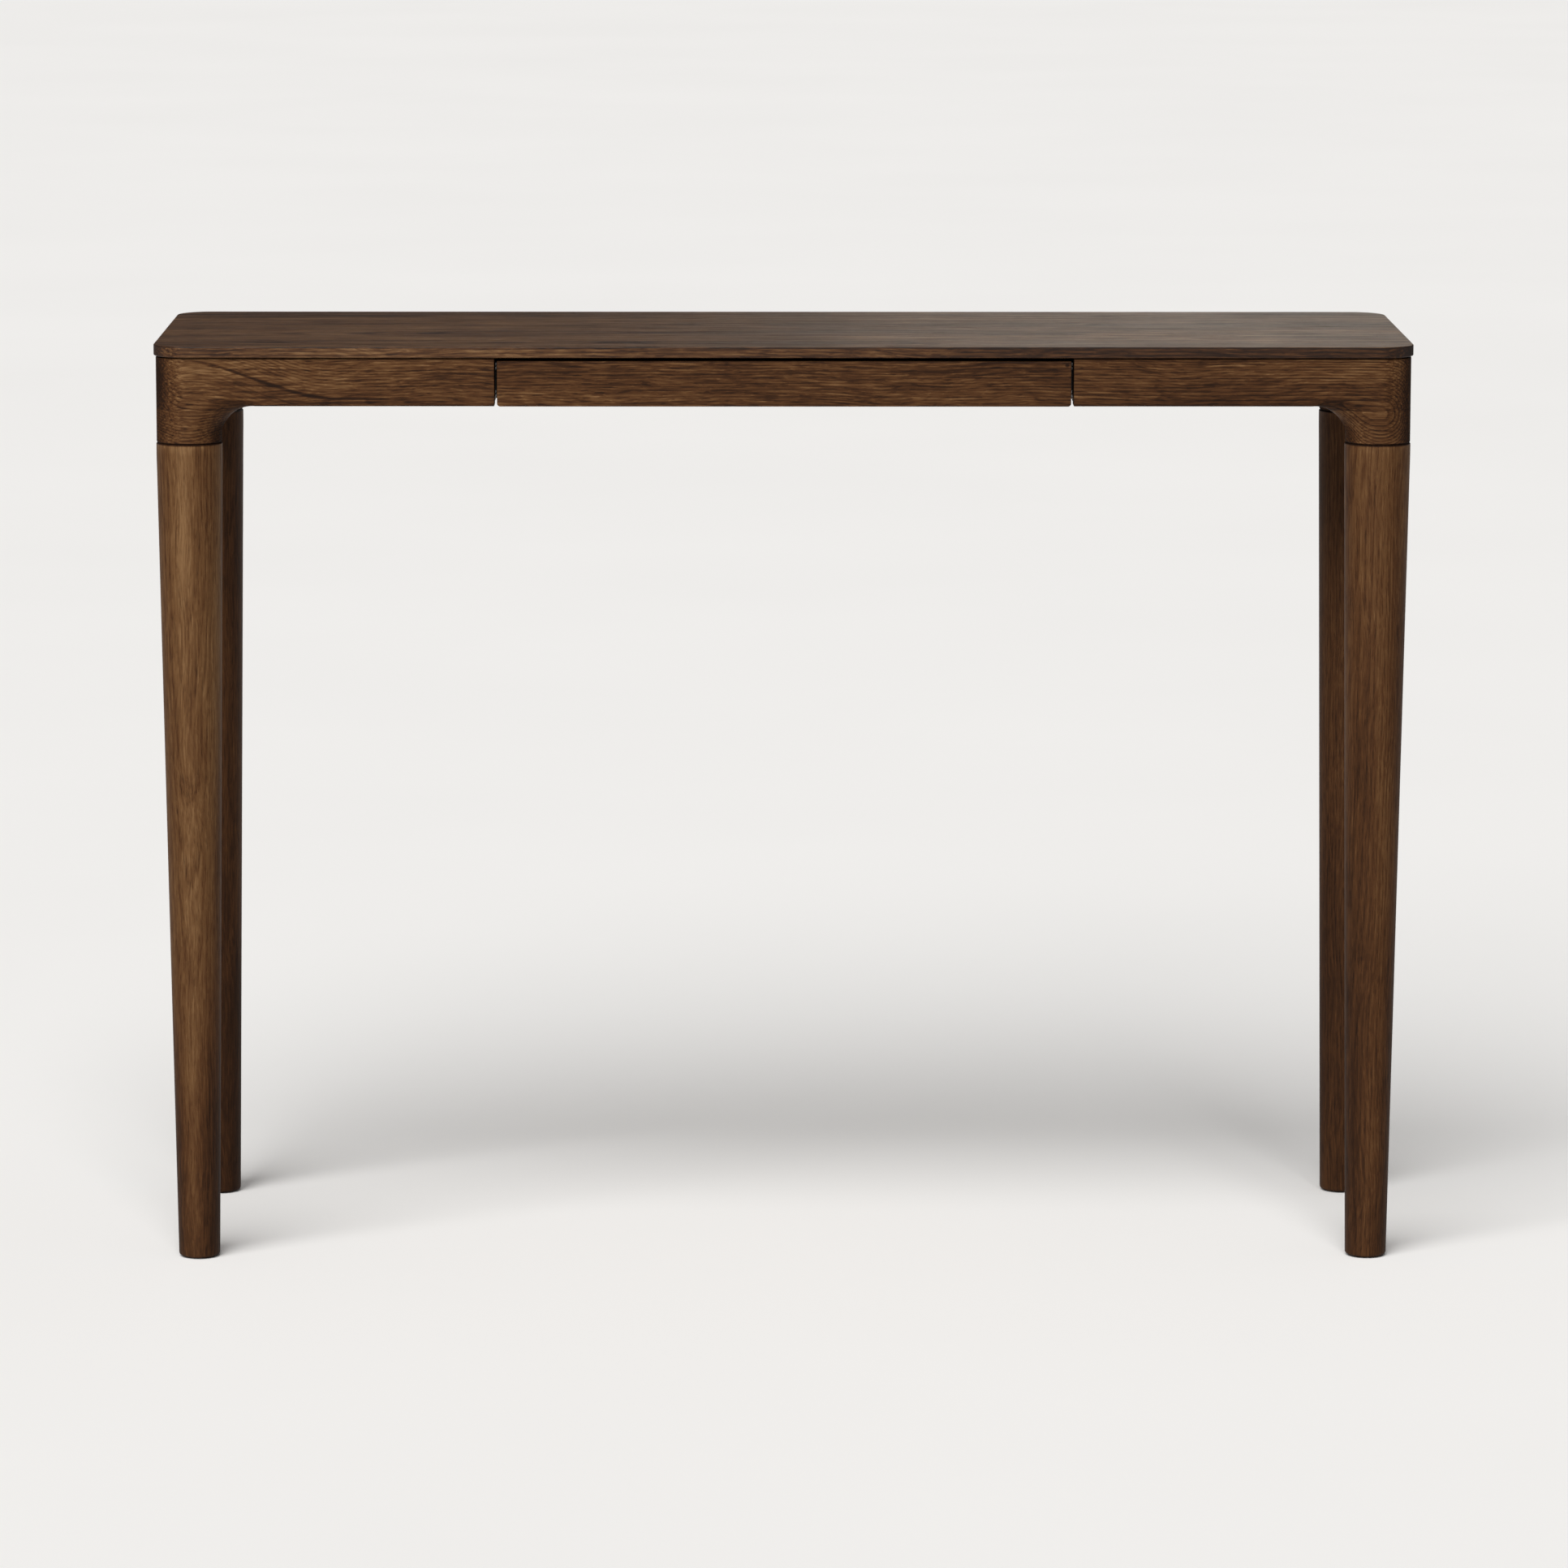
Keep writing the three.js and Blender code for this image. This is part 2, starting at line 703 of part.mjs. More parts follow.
function drawerFront() {
  const halfWidth = openingHalf - drawerGapSide;
  const top = topUnderside - drawerGapTop;
  const r = drawerFrontCornerRadius;
  const face = [
    [-halfWidth, top],
    ...arc(r - halfWidth, railBottom + r, r, Math.PI, 1.5 * Math.PI, 4),
    ...arc(halfWidth - r, railBottom + r, r, 1.5 * Math.PI, 2 * Math.PI, 4),
    [halfWidth, top],
  ];
  const board = extrudedAlongY(face, drawerFrontFace, drawerFrontThickness);
  const back = drawerFrontFace + drawerFrontThickness;
  const cove = rod(coveRadius, openingWidth, [-openingHalf, back, railBottom], "x", coveSegments);
  const screwDepth = frontScrew.length - boxWallThickness;
  const screwHoles = frontScrewPlaces.map((x) =>
    shankHole(frontScrew, screwDepth + 1, [x, back - screwDepth, slideMiddleZ], "y"),
  );
  return cut(board, [cove, ...screwHoles]);
}

// The groove round the inside of the box that holds the bottom panel.
function panelGroove() {
  const reachX = wallInner + grooveDepth;
  return block(
    [-reachX, boxFront + boxWallThickness - grooveDepth, panelBottom - fit],
    [reachX, boxBack - boxWallThickness + grooveDepth, panelBottom + panelThickness + fit],
  );
}

function boxSide() {
  const board = block([-boxHalfWidth, boxFront, boxBottom], [-wallInner, boxBack, boxTop]);
  const pilotDepth = slideScrew.length - fit;
  const pilots = slideScrewY.map((y) =>
    shankHole(slideScrew, pilotDepth + 1, [-boxHalfWidth - 1, y, slideMiddleZ], "x"),
  );
  return cut(board, [panelGroove(), ...pilots]);
}

// A cross wall of the box, between the two sides.
function boxWall(front) {
  const board = block(
    [fit - wallInner, front, boxBottom],
    [wallInner - fit, front + boxWallThickness, boxTop],
  );
  return board.subtract(panelGroove());
}

function boxFrontWall() {
  const holes = frontScrewPlaces.map((x) =>
    shankHole(frontScrew, boxWallThickness + 2, [x, boxFront - 1, slideMiddleZ], "y"),
  );
  return cut(boxWall(boxFront), holes);
}

function bottomPanel() {
  const reachX = wallInner + grooveDepth - fit;
  return block(
    [-reachX, boxFront + boxWallThickness - grooveDepth + fit, panelBottom],
    [reachX, boxBack - boxWallThickness + grooveDepth - fit, panelBottom + panelThickness],
  );
}

addPiece("drawer_front", drawerFront(), railWood);
addPiece("drawer_box_front", boxFrontWall(), boxWood);
addPiece("drawer_box_back", boxWall(boxBack - boxWallThickness), boxWood);
addPiece("drawer_bottom", bottomPanel(), boxWood);
for (const { name, sign } of sides) {
  addPiece(`drawer_side_${name}`, boxSide(), boxWood).scale.setX(-sign);
  const fixing = addPiece(`drawer_front_screw_${name}`, screw(frontScrew), zincSteel);
  fixing.position.set(sign * frontScrewX, frontScrewSeat, slideMiddleZ);
  fixing.rotation.x = Math.PI / 2;
}

export default table;
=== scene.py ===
# A console table in dark stained oak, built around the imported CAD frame. Every CAD node is
# replaced by a finer mesh of the same size, and every piece has a procedural material.
# Lengths are in metres. +Z is up, +X is to the right and -Y is the front.

import json
import math

import bmesh
import bpy
from mathutils import Matrix, Vector

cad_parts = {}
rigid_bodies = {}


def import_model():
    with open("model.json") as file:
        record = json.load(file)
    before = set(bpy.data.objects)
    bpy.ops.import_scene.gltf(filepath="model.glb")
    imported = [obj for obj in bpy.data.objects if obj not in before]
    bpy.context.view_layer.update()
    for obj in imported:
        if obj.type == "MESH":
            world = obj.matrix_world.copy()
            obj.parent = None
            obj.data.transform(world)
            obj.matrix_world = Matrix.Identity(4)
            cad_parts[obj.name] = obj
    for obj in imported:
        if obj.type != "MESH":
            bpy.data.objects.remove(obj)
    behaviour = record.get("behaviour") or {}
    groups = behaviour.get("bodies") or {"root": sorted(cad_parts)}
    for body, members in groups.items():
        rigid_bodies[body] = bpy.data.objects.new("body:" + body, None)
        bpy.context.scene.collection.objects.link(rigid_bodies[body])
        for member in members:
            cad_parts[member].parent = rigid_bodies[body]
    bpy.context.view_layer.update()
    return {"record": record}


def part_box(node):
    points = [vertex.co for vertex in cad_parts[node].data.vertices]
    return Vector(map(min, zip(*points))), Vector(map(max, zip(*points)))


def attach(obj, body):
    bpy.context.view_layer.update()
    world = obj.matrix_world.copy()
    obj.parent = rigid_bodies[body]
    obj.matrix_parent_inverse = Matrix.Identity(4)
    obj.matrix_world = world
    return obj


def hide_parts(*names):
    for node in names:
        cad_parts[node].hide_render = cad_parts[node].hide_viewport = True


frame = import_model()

MM = 0.001

# ---- dimensions from the frame

body_of_node = {
    node: body
    for body, nodes in frame["record"]["behaviour"]["bodies"].items()
    for node in nodes
}
sides = {"left": -1, "right": 1}
corners = {
    "front_left": (-1, -1),
    "front_right": (1, -1),
    "back_left": (-1, 1),
    "back_right": (1, 1),
}

top_low, top_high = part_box("tabletop")
rail_low, rail_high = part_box("front_rail_left")
leg_low, leg_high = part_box("leg_front_left")
front_low, front_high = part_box("drawer_front")
front_face = rail_low.y
glue_line = rail_low.z
rail_top = rail_high.z
block_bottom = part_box("corner_block_front_left")[0].z
leg_top = leg_high.z
leg_x = -(leg_low.x + leg_high.x) / 2
leg_y = -(leg_low.y + leg_high.y) / 2
post_radius = -rail_low.x - leg_x
opening_half = -rail_high.x
inner_v = rail_high.y + leg_y  # a rail's inner face, measured from the leg's axis

# Small shapes that a box doesn't tell.
fit = 0.3 * MM
bearer_recess = 2 * MM
rail_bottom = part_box("drawer_bearer_left")[0].z - bearer_recess
fillet_radius = 34 * MM
fillet_start = rail_bottom - fillet_radius
fillet_centre = post_radius + fillet_radius
edge_radius = 1.5 * MM  # of a rail's lower front edge
eased = 0.5 * MM  # of an edge that is only broken with sandpaper
joint_chamfer = 0.9 * MM
groove_height = 1.3 * MM
groove_depth = 3 * MM
glue_gap = 0.03 * MM
top_corner_radius = 33 * MM
top_edge_radius = 1.0 * MM
insert_radius = 7 * MM
insert_hole_depth = 21 * MM
overcut = 1 * MM  # how far a cutting tool reaches out of the wood
hole_spare = 0.6 * MM  # between a screw and its hole

# Each screw's head radius, head height and shank radius.
top_screw = (4.2 * MM, 2.4 * MM, 2.0 * MM)
front_screw = (3.8 * MM, 2.0 * MM, 1.9 * MM)
slide_screw = (3.4 * MM, 1.6 * MM, 1.7 * MM)


# ---- meshes

def spaced(start, end, steps):
    """Equally spaced values from start to end, both included."""
    return [start + (end - start) * (i / steps) for i in range(steps + 1)]


def node_middle(node):
    low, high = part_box(node)
    return (low + high) / 2


def skinned(rings, caps=True):
    """A mesh of quads between rings of points, with a face over the first and the last ring."""
    mesh = bmesh.new()
    rows = [[mesh.verts.new(point) for point in ring] for ring in rings]
    count = len(rows[0])
    for lower, upper in zip(rows, rows[1:]):
        for i in range(count):
            j = (i + 1) % count
            mesh.faces.new((lower[i], lower[j], upper[j], upper[i]))
    if caps:
        mesh.faces.new(list(reversed(rows[0])))
        mesh.faces.new(rows[-1])
    weld = 0.001 * MM
    bmesh.ops.remove_doubles(mesh, verts=mesh.verts, dist=weld)
    bmesh.ops.dissolve_degenerate(mesh, edges=mesh.edges, dist=weld / 2)
    bmesh.ops.recalc_face_normals(mesh, faces=mesh.faces)
    return mesh


def placed(point, axis):
    """A point drawn along z, with its long direction turned to x, y or z."""
    a, b, c = point
    return {"x": (c, a, b), "y": (a, c, b), "z": (a, b, c)}[axis]


def turned_ring(radii, level, at, axis):
    """Points round an axis through a point, each at its own radius."""
    ring = []
    for i, radius in enumerate(radii):
        angle = 2 * math.pi * i / len(radii)
        local = (radius * math.cos(angle), radius * math.sin(angle), level)
        ring.append(Vector(placed(local, axis)) + Vector(at))
    return ring


def lathe(profile, segments, at, axis="z"):
    """A profile of (radius, height) pairs turned about an axis through a point."""
    rings = [turned_ring([radius] * segments, level, at, axis) for radius, level in profile]
    return skinned(rings, caps=False)


def rounded_outline(low, high, radii, inset, steps):
    """A rectangle with rounded corners, moved inwards by inset, anticlockwise from +a +b."""
    (a0, b0), (a1, b1) = low, high
    quarters = [(a1, b1, 1, 1), (a0, b1, -1, 1), (a0, b0, -1, -1), (a1, b0, 1, -1)]
    points = []
    for quarter, (a, b, sign_a, sign_b) in enumerate(quarters):
        radius = max(radii[quarter] - inset, 0)
        centre_a = a - sign_a * (inset + radius)
        centre_b = b - sign_b * (inset + radius)
        for i in range(steps + 1):
            angle = (quarter + i / steps) * math.pi / 2
            points.append((centre_a + radius * math.cos(angle), centre_b + radius * math.sin(angle)))
    return points


def quarter_round(radius, steps):
    """(inset, depth) pairs of a rounded edge, from the face to the side."""
    angles = spaced(0, math.pi / 2, steps)
    return [(radius * (1 - math.sin(t)), radius * (1 - math.cos(t))) for t in angles]


def slab(low, high, axis, radii, edge, corner_steps, edge_steps=3):
    """A board whose broad faces are at right angles to an axis, with all its edges rounded."""
    a, b, c = {"x": (1, 2, 0), "y": (0, 2, 1), "z": (0, 1, 2)}[axis]
    rounding = quarter_round(edge, edge_steps)
    levels = [(inset, low[c] + rise) for inset, rise in rounding]
    levels += [(inset, high[c] - rise) for inset, rise in reversed(rounding)]
    rings = []
    for inset, level in levels:
        outline = rounded_outline((low[a], low[b]), (high[a], high[b]), radii, inset, corner_steps)
        rings.append([placed((p, q, level), axis) for p, q in outline])
    return skinned(rings)


def board(low, high, axis, edge):
    """A plain board with broken edges."""
    return slab(low, high, axis, [edge] * 4, edge, corner_steps=3)


def linked(name, data):
    """A new object in the scene."""
    obj = bpy.data.objects.new(name, data)
    bpy.context.scene.collection.objects.link(obj)
    return obj


def combined(mesh, tools, operation="DIFFERENCE"):
    """The mesh with each tool cut out of it or joined to it."""
    subject = linked("subject", bpy.data.meshes.new("subject"))
    mesh.to_mesh(subject.data)
    for tool in tools:
        cutter = linked("cutter", bpy.data.meshes.new("cutter"))
        tool.to_mesh(cutter.data)
        tool.free()
        modifier = subject.modifiers.new("cut", "BOOLEAN")
        modifier.object = cutter
        modifier.operation = operation
        modifier.solver = "MANIFOLD"
        view = bpy.context.evaluated_depsgraph_get()
        result = bpy.data.meshes.new_from_object(subject.evaluated_get(view))
        subject.modifiers.clear()
        subject.data = result
        bpy.data.objects.remove(cutter)
    mesh.clear()
    mesh.from_mesh(subject.data)
    bpy.data.objects.remove(subject)
    return mesh


def hole(radius, start, length, axis, segments=32):
    """A round tool from a point along +x, +y or +z."""
    profile = [(0, 0), (radius, 0), (radius, length), (0, length)]
    return lathe(profile, segments, start, axis)


def box_tool(low, high):
    return slab(low, high, "z", [0] * 4, 0, corner_steps=1, edge_steps=1)


smooth_angle = 35  # degrees between two faces that are shaded as one
# An edge's wear starts at this angle, in degrees, and is full after so many more.
wear_start = 18
wear_reach = 10
table_pieces = bpy.data.collections.new("the table's pieces")


def piece(node, mesh, materials):
    """Makes the mesh the piece that stands for a CAD node."""
    made = bpy.data.meshes.new(node + "_fine")
    mesh.to_mesh(made)
    mesh.free()
    made.shade_smooth()
    made.set_sharp_from_angle(angle=math.radians(smooth_angle))
    mark_wear(made)
    for material in materials:
        made.materials.append(material)
    obj = linked(node + "_fine", made)
    weighted = obj.modifiers.new("flat faces stay flat", "WEIGHTED_NORMAL")
    weighted.keep_sharp = True
    table_pieces.objects.link(obj)
    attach(obj, body_of_node[node])
    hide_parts(node)


def mark_wear(made):
    """Stores how far a vertex stands on a convex rounded edge, from 0 to 1, as "wear"."""
    probe = bmesh.new()
    probe.from_mesh(made)
    values = []
    for vert in probe.verts:
        bends = [
            edge.calc_face_angle_signed(0)
            for edge in vert.link_edges
            if len(edge.link_faces) == 2
        ]
        bend = math.degrees(max(bends, default=0))
        values.append(min(max((bend - wear_start) / wear_reach, 0), 1))
    probe.free()
    attribute = made.attributes.new("wear", "FLOAT", "POINT")
    attribute.data.foreach_set("value", values)


# ---- material graphs

class Value:
    """A number or colour worked out by a material's nodes. A sum or product makes a new node."""

    def __init__(self, graph, socket):
        self.graph = graph
        self.socket = socket

    def __add__(self, other):
        return self.graph.math("ADD", self, other)

    def __sub__(self, other):
        return self.graph.math("SUBTRACT", self, other)

    def __mul__(self, other):
        return self.graph.math("MULTIPLY", self, other)

    def __abs__(self):
        return self.graph.math("ABSOLUTE", self)

    __radd__ = __add__


class Graph:
    """A material's node tree, with a short call for each kind of node."""

    def __init__(self, name):
        self.material = bpy.data.materials.new(name)
        self.material.use_nodes = True
        self.tree = self.material.node_tree
        self.shader = self.tree.nodes["Principled BSDF"]
        self.point = self.node("ShaderNodeTexCoord", output="Object")

    def set(self, value, socket):
        if isinstance(value, Value):
            self.tree.links.new(value.socket, socket)
        else:
            socket.default_value = value

    def node(self, kind, inputs=(), output=0, **settings):
        """One output of a new node, whose inputs are set or linked by number or name."""
        made = self.tree.nodes.new(kind)
        for name, value in settings.items():
            setattr(made, name, value)
        for key, value in dict(inputs).items():
            self.set(value, made.inputs[key])
        return Value(self, made.outputs[output])

    def math(self, operation, a, b=0.0):
        return self.node("ShaderNodeMath", {0: a, 1: b}, operation=operation)

    def combine(self, x, y, z):
        return self.node("ShaderNodeCombineXYZ", {0: x, 1: y, 2: z})

    def separate(self, vector):
        first = self.node("ShaderNodeSeparateXYZ", {0: vector})
        return [Value(self, socket) for socket in first.socket.node.outputs]

    def stretched(self, scales):
        """The piece's own coordinates, each multiplied by a scale."""
        return self.node("ShaderNodeVectorMath", {0: self.point, 1: scales}, operation="MULTIPLY")

    def noise(self, vector, scale=1.0, detail=2.0, roughness=0.5, output=0):
        inputs = {"Vector": vector, "Scale": scale, "Detail": detail, "Roughness": roughness}
        return self.node("ShaderNodeTexNoise", inputs, output)

    def sway(self, vector, detail):
        """Three smooth numbers on both sides of zero."""
        return [part - 0.5 for part in self.separate(self.noise(vector, detail=detail, output="Color"))]

    def step(self, value, start, end, low=0.0, high=1.0):
        """A smooth step from low to high as value goes from start to end."""
        inputs = {0: value, 1: start, 2: end, 3: low, 4: high}
        return self.node("ShaderNodeMapRange", inputs, interpolation_type="SMOOTHSTEP")

    def mix(self, factor, a, b):
        a, b = [(*colour, 1) if isinstance(colour, tuple) else colour for colour in (a, b)]
        return self.node("ShaderNodeMix", {"Factor": factor, "A": a, "B": b}, "Result", data_type="RGBA")

    def ramp(self, factor, stops):
        made = self.node("ShaderNodeValToRGB", {0: factor})
        elements = made.socket.node.color_ramp.elements
        while len(elements) < len(stops):
            elements.new(1.0)
        for element, (place, colour) in zip(elements, stops):
            element.position = place
            element.color = (*colour, 1)
        return made

    def wear(self):
        return self.node("ShaderNodeAttribute", output="Fac", attribute_name="wear")

    def finish(self, colour, roughness, height, bump_strength, bump_distance, others=()):
        """The material, with its shader's inputs set. The others go by their names."""
        bump = {"Strength": bump_strength, "Distance": bump_distance, "Height": height}
        inputs = {"Base Color": colour, "Roughness": roughness, "Normal": self.node("ShaderNodeBump", bump)}
        for name, value in [*inputs.items(), *dict(others).items()]:
            self.set(value, self.shader.inputs[name])
        return self.material


# ---- wood

dark_oak = [
    (0.0, (0.0100, 0.0034, 0.0010)),
    (0.3, (0.0270, 0.0098, 0.0028)),
    (0.55, (0.0560, 0.0220, 0.0068)),
    (0.8, (0.0980, 0.0465, 0.0170)),
    (1.0, (0.1500, 0.0810, 0.0345)),
]
pale_oak = [
    (0.0, (0.190, 0.105, 0.046)),
    (0.35, (0.300, 0.180, 0.086)),
    (0.65, (0.390, 0.250, 0.130)),
    (1.0, (0.500, 0.345, 0.200)),
]
pore_colour = (0.0060, 0.0022, 0.0008)
# A year's ring, from its early wood, at 1, to its late wood.
year_profile = ((0.0, 1.0), (0.14, 0.75), (0.42, 0.12), (0.9, 0.0), (1.0, 0.9))
year_stops = [(place, (early, early, early)) for place, early in year_profile]
board_shift = 7.31  # how far each seed's board begins from the last one, along one long tree
plank_shift = 3.7  # the same for the planks of one board
bottom_shade_reach = 0.53  # how far the painted bottom shade reaches from the middle of the table


class Wood(Graph):
    """A board's graph. Its grain runs along axis. planks is where the first of a row of glued
    planks begins, and their width."""

    def __init__(self, name, axis, seed, planks):
        super().__init__(name)
        self.at = dict(zip("xyz", self.separate(self.point)))
        normal = self.node("ShaderNodeTexCoord", output="Normal")
        self.normal = dict(zip("xyz", self.separate(normal)))
        self.along, self.side, self.rise = [self.at[letter] for letter in axis + "xyz".replace(axis, "")]
        self.shift = seed * board_shift
        self.start = self.along + self.shift
        self.ring_side = self.side
        self.plank_tone = 0.0
        if planks:
            self.lay_planks(*planks)
        flow = self.sway(self.grain(7, 18), detail=1)
        self.flow_side = self.side + flow[0] * (16 * MM)
        self.flow_rise = self.rise + flow[1] * (16 * MM)
        self.ripple = self.noise(self.grain(14, 160), detail=2)

    def lay_planks(self, low, width):
        """Starts each plank elsewhere in its tree, and turns every second one over."""
        index = self.math("FLOOR", (self.side - low) * (1 / width))
        turn = self.math("MODULO", index, 2) * -2 + 1
        self.ring_side = (self.side - low - (index + 0.5) * width) * turn
        self.start = self.along + (index * plank_shift + self.shift)
        tone = self.noise(self.combine(index * 5.17, self.shift, 0), detail=0)
        self.plank_tone = (tone - 0.5) * 0.35

    def grain(self, along, across):
        """The board's coordinates, scaled along and across the grain."""
        return self.combine(self.start * along, self.side * across, self.rise * across)

    def streaked(self, length, width, detail):
        """Noise in streaks of about a length and a width, which flow in shallow waves."""
        across = 1 / width
        scaled = self.combine(self.start * (1 / length), self.flow_side * across, self.flow_rise * across)
        return self.noise(scaled, detail=detail, roughness=0.55)

    def rings(self, pith, spacing, drift, waver, bend):
        """The early wood of the growth rings, from 0 to 1. The rings wander slowly round the
        pith, and bend is a smooth step that lifts them: where it begins and ends, and its height."""
        self.wander = self.sway(self.grain(1.8, 7), detail=2.5)
        lift = self.step(self.along, *bend[:2], 0.0, bend[2]) if bend else 0.0
        self.bent_rise = self.rise + lift
        side = self.ring_side - pith[0] + self.wander[0] * (2 * drift)
        rise = self.rise - pith[1] + self.wander[1] * (2 * drift) + lift
        distance = self.math("SQRT", side * side + rise * rise)
        count = distance * (1 / spacing) + self.ripple * waver
        year = self.noise(self.combine(count * 0.45, self.shift, 0), detail=1)
        early = self.ramp(self.math("FRACT", count), year_stops)
        return early * self.step(year, 0.3, 0.7, 0.35, 1.0)

    def pores(self, rings):
        """Open pores along the grain, which crowd into the early wood."""
        coarse = self.step(self.streaked(22 * MM, 1.5 * MM, 2.0), 0.56, 0.70) * 0.8
        fine = self.step(self.streaked(9 * MM, 0.55 * MM, 1.5), 0.54, 0.68) * 0.75
        return self.math("MAXIMUM", coarse, fine) * (rings * 0.75 + 0.25)


# A mark adds a tone to a board's graph at some place. wood() gets it as a function and values.

def painted_shading(graph, letter, begin, end, low, high):
    """Painted light and shade: goes from low to high between two places along x, y or z."""
    return graph.step(graph.at[letter], begin, end, low, high)


def painted_edge_shading(graph, *values):
    """Painted shading for the faces that don't point up."""
    return painted_shading(graph, *values) * graph.step(graph.normal["z"], 0.3, 0.8, 1.0, 0.0)


def painted_bottom_shade(graph, bottom, top, tone):
    """Painted shade: darkens a board towards its bottom edge, but not at the corners."""
    inside = graph.step(abs(graph.at["x"]), bottom_shade_reach, bottom_shade_reach + 0.03, 1.0, 0.0)
    return graph.step(graph.at["z"], bottom, top, tone, 0.0) * inside


def painted_highlight_band(graph, place, half_width, tone):
    """A painted highlight: a strip along the grain with wandering edges."""
    off = abs(graph.side - place + graph.wander[2] * 0.02)
    return graph.step(off, 0.0, half_width, tone, 0.0)


def streak(graph, place, half_width, begin, end, tone):
    """A line along the grain that follows the bend of the rings and fades at its ends."""
    off = abs(graph.bent_rise - place + graph.ripple * (1.5 * MM))
    line = graph.step(off, 0.2 * half_width, half_width, tone, 0.0)
    line *= graph.step(graph.along, begin, begin + 0.03)
    return line * graph.step(graph.along, end - 0.06, end, 1.0, 0.0)


def knot(graph, along, rise, radius):
    """A dark pin knot in a face that looks along y."""
    off = graph.combine((graph.along - along) * 0.75, 0.0, graph.rise - rise)
    size = graph.node("ShaderNodeVectorMath", {0: off}, "Value", operation="LENGTH")
    return graph.step(size, 0.5 * radius, 1.6 * radius, -0.55, 0.0)


def seam(graph, level, half_width, tone):
    """The line of a joint at a height."""
    return graph.step(abs(graph.at["z"] - level), 0.3 * half_width, half_width, tone, 0.0)


def wood(
    name, axis, pith, seed, ring=2.6 * MM, ring_depth=0.30, drift=10 * MM, waver=0.9, bend=None,
    planks=None, tone=0.0, contrast=1.0, figure=0.0, pores=1.0, stops=dark_oak, rubbing=0.2,
    roughness=0.58, gloss=0.11, seams=(), marks=(),
):
    """Open-grained wood. axis is the grain's direction, and pith the middle of the growth rings
    in the two directions across it. Drift is how far the rings wander along the board, and
    figure how strong the broad figure of a flat face is. A seam is a mark's values by itself."""
    graph = Wood(name, axis, seed, planks)
    rings = graph.rings(pith, ring, drift, waver, bend)
    pore = graph.pores(rings) * pores
    fibre = graph.streaked(30 * MM, 0.8 * MM, 4.0) - 0.5
    mottle = graph.streaked(20 * MM, 2.2 * MM, 3.0) - 0.5
    lines = graph.streaked(120 * MM, 1.9 * MM, 2.0) - 0.5
    patches = graph.noise(graph.grain(2.6, 17), detail=3) - 0.5
    flecks = graph.step(graph.streaked(7 * MM, 2.2 * MM, 1.0), 0.62, 0.74)
    dashes = graph.step(graph.streaked(15 * MM, 1.7 * MM, 1.0), 0.58, 0.66)
    # End grain drinks more stain. Convex edges are rubbed a little lighter and smoother.
    end_grain = graph.step(abs(graph.normal[axis]), 0.55, 0.9)
    worn = graph.wear() * graph.step(graph.noise(graph.point, 60, 3), 0.35, 0.7)

    fine = fibre * 0.8 + mottle * 0.9 + lines + flecks * 0.12 - dashes * 0.22
    value = 0.62 + tone + patches * 0.9 + fine * contrast - rings * ring_depth
    value += graph.plank_tone + worn * rubbing - end_grain * 0.32
    for mark, *values in [*marks, *[(seam, *line) for line in seams]]:
        value += mark(graph, *values)
    satin = roughness + fibre * 0.16 + pore * 0.22 - worn * 0.06 + end_grain * 0.35
    if figure:
        flat = graph.step(abs(graph.normal["z"]), 0.4, 0.9, 0.15, 1.0)
        broad = (graph.streaked(190 * MM, 7 * MM, 3.0) - 0.5) * flat
        gashes = graph.step(graph.streaked(70 * MM, 3.6 * MM, 1.5), 0.58, 0.70) * flat
        value += (broad - gashes * 0.16) * figure
        satin += gashes * 0.10 - broad * 0.25

    colour = graph.mix(pore * 0.78, graph.ramp(value, stops), pore_colour)
    height = fibre * 0.5 - (pore + rings * 0.15)
    return graph.finish(colour, satin, height, 0.30, 0.15 * MM, {"IOR": 1.46, "Specular IOR Level": gloss})


# ---- metal and plastic

def metal(name, colour, dull, axis, roughness, scratch=0.25):
    """Brushed or turned metal with faint stains. axis is the direction of the brushing."""
    graph = Graph(name)
    brushed = graph.noise(graph.stretched([40 if letter == axis else 2500 for letter in "xyz"]), detail=3)
    cloud = graph.noise(graph.point, 90, 4)
    spots = graph.step(graph.noise(graph.point, 900, 2), 0.62, 0.72)
    paint = graph.mix(graph.step(cloud * 0.9 + brushed * 0.25, 0.3, 0.85), dull, colour)
    paint = graph.mix(spots * 0.35, paint, dull)
    gloss = roughness - 0.1 + cloud * 0.22 - graph.wear() * 0.06
    return graph.finish(paint, gloss, brushed, scratch, 0.02 * MM, {"Metallic": 1.0})


def coated_steel(name, tracks, half_track):
    """Black electro-coat on sheet steel, rubbed bare where the balls run at the track heights."""
    graph = Graph(name)
    z = graph.separate(graph.point)[2]
    brushed = graph.noise(graph.stretched((2500, 30, 2500)), detail=3)
    cloud = graph.noise(graph.point, 110, 4)
    specks = graph.step(graph.noise(graph.point, 1400, 2), 0.66, 0.72)
    scuffs = graph.noise(graph.stretched((300, 12, 300)), detail=2)
    bare = graph.step(scuffs, 0.66, 0.76, 0.0, 0.35)
    for level in tracks:
        off = abs(z - level) + (brushed - 0.5) * (0.6 * MM)
        track = graph.step(off, 0.6 * half_track, half_track, 1.0, 0.0)
        bare = graph.math("MAXIMUM", bare, track * graph.step(cloud, 0.25, 0.6, 0.35, 0.9))
    coat = graph.mix(graph.step(cloud, 0.3, 0.7), (0.010, 0.010, 0.011), (0.022, 0.022, 0.023))
    coat = graph.mix(specks * 0.3, coat, (0.05, 0.05, 0.05))
    colour = graph.mix(bare, coat, (0.50, 0.50, 0.51))
    gloss = 0.42 + (cloud - 0.5) * 0.25 - bare * 0.12
    height = brushed + specks * 0.5
    return graph.finish(colour, gloss, height, 0.2, 0.02 * MM, {"Metallic": bare * 0.95})


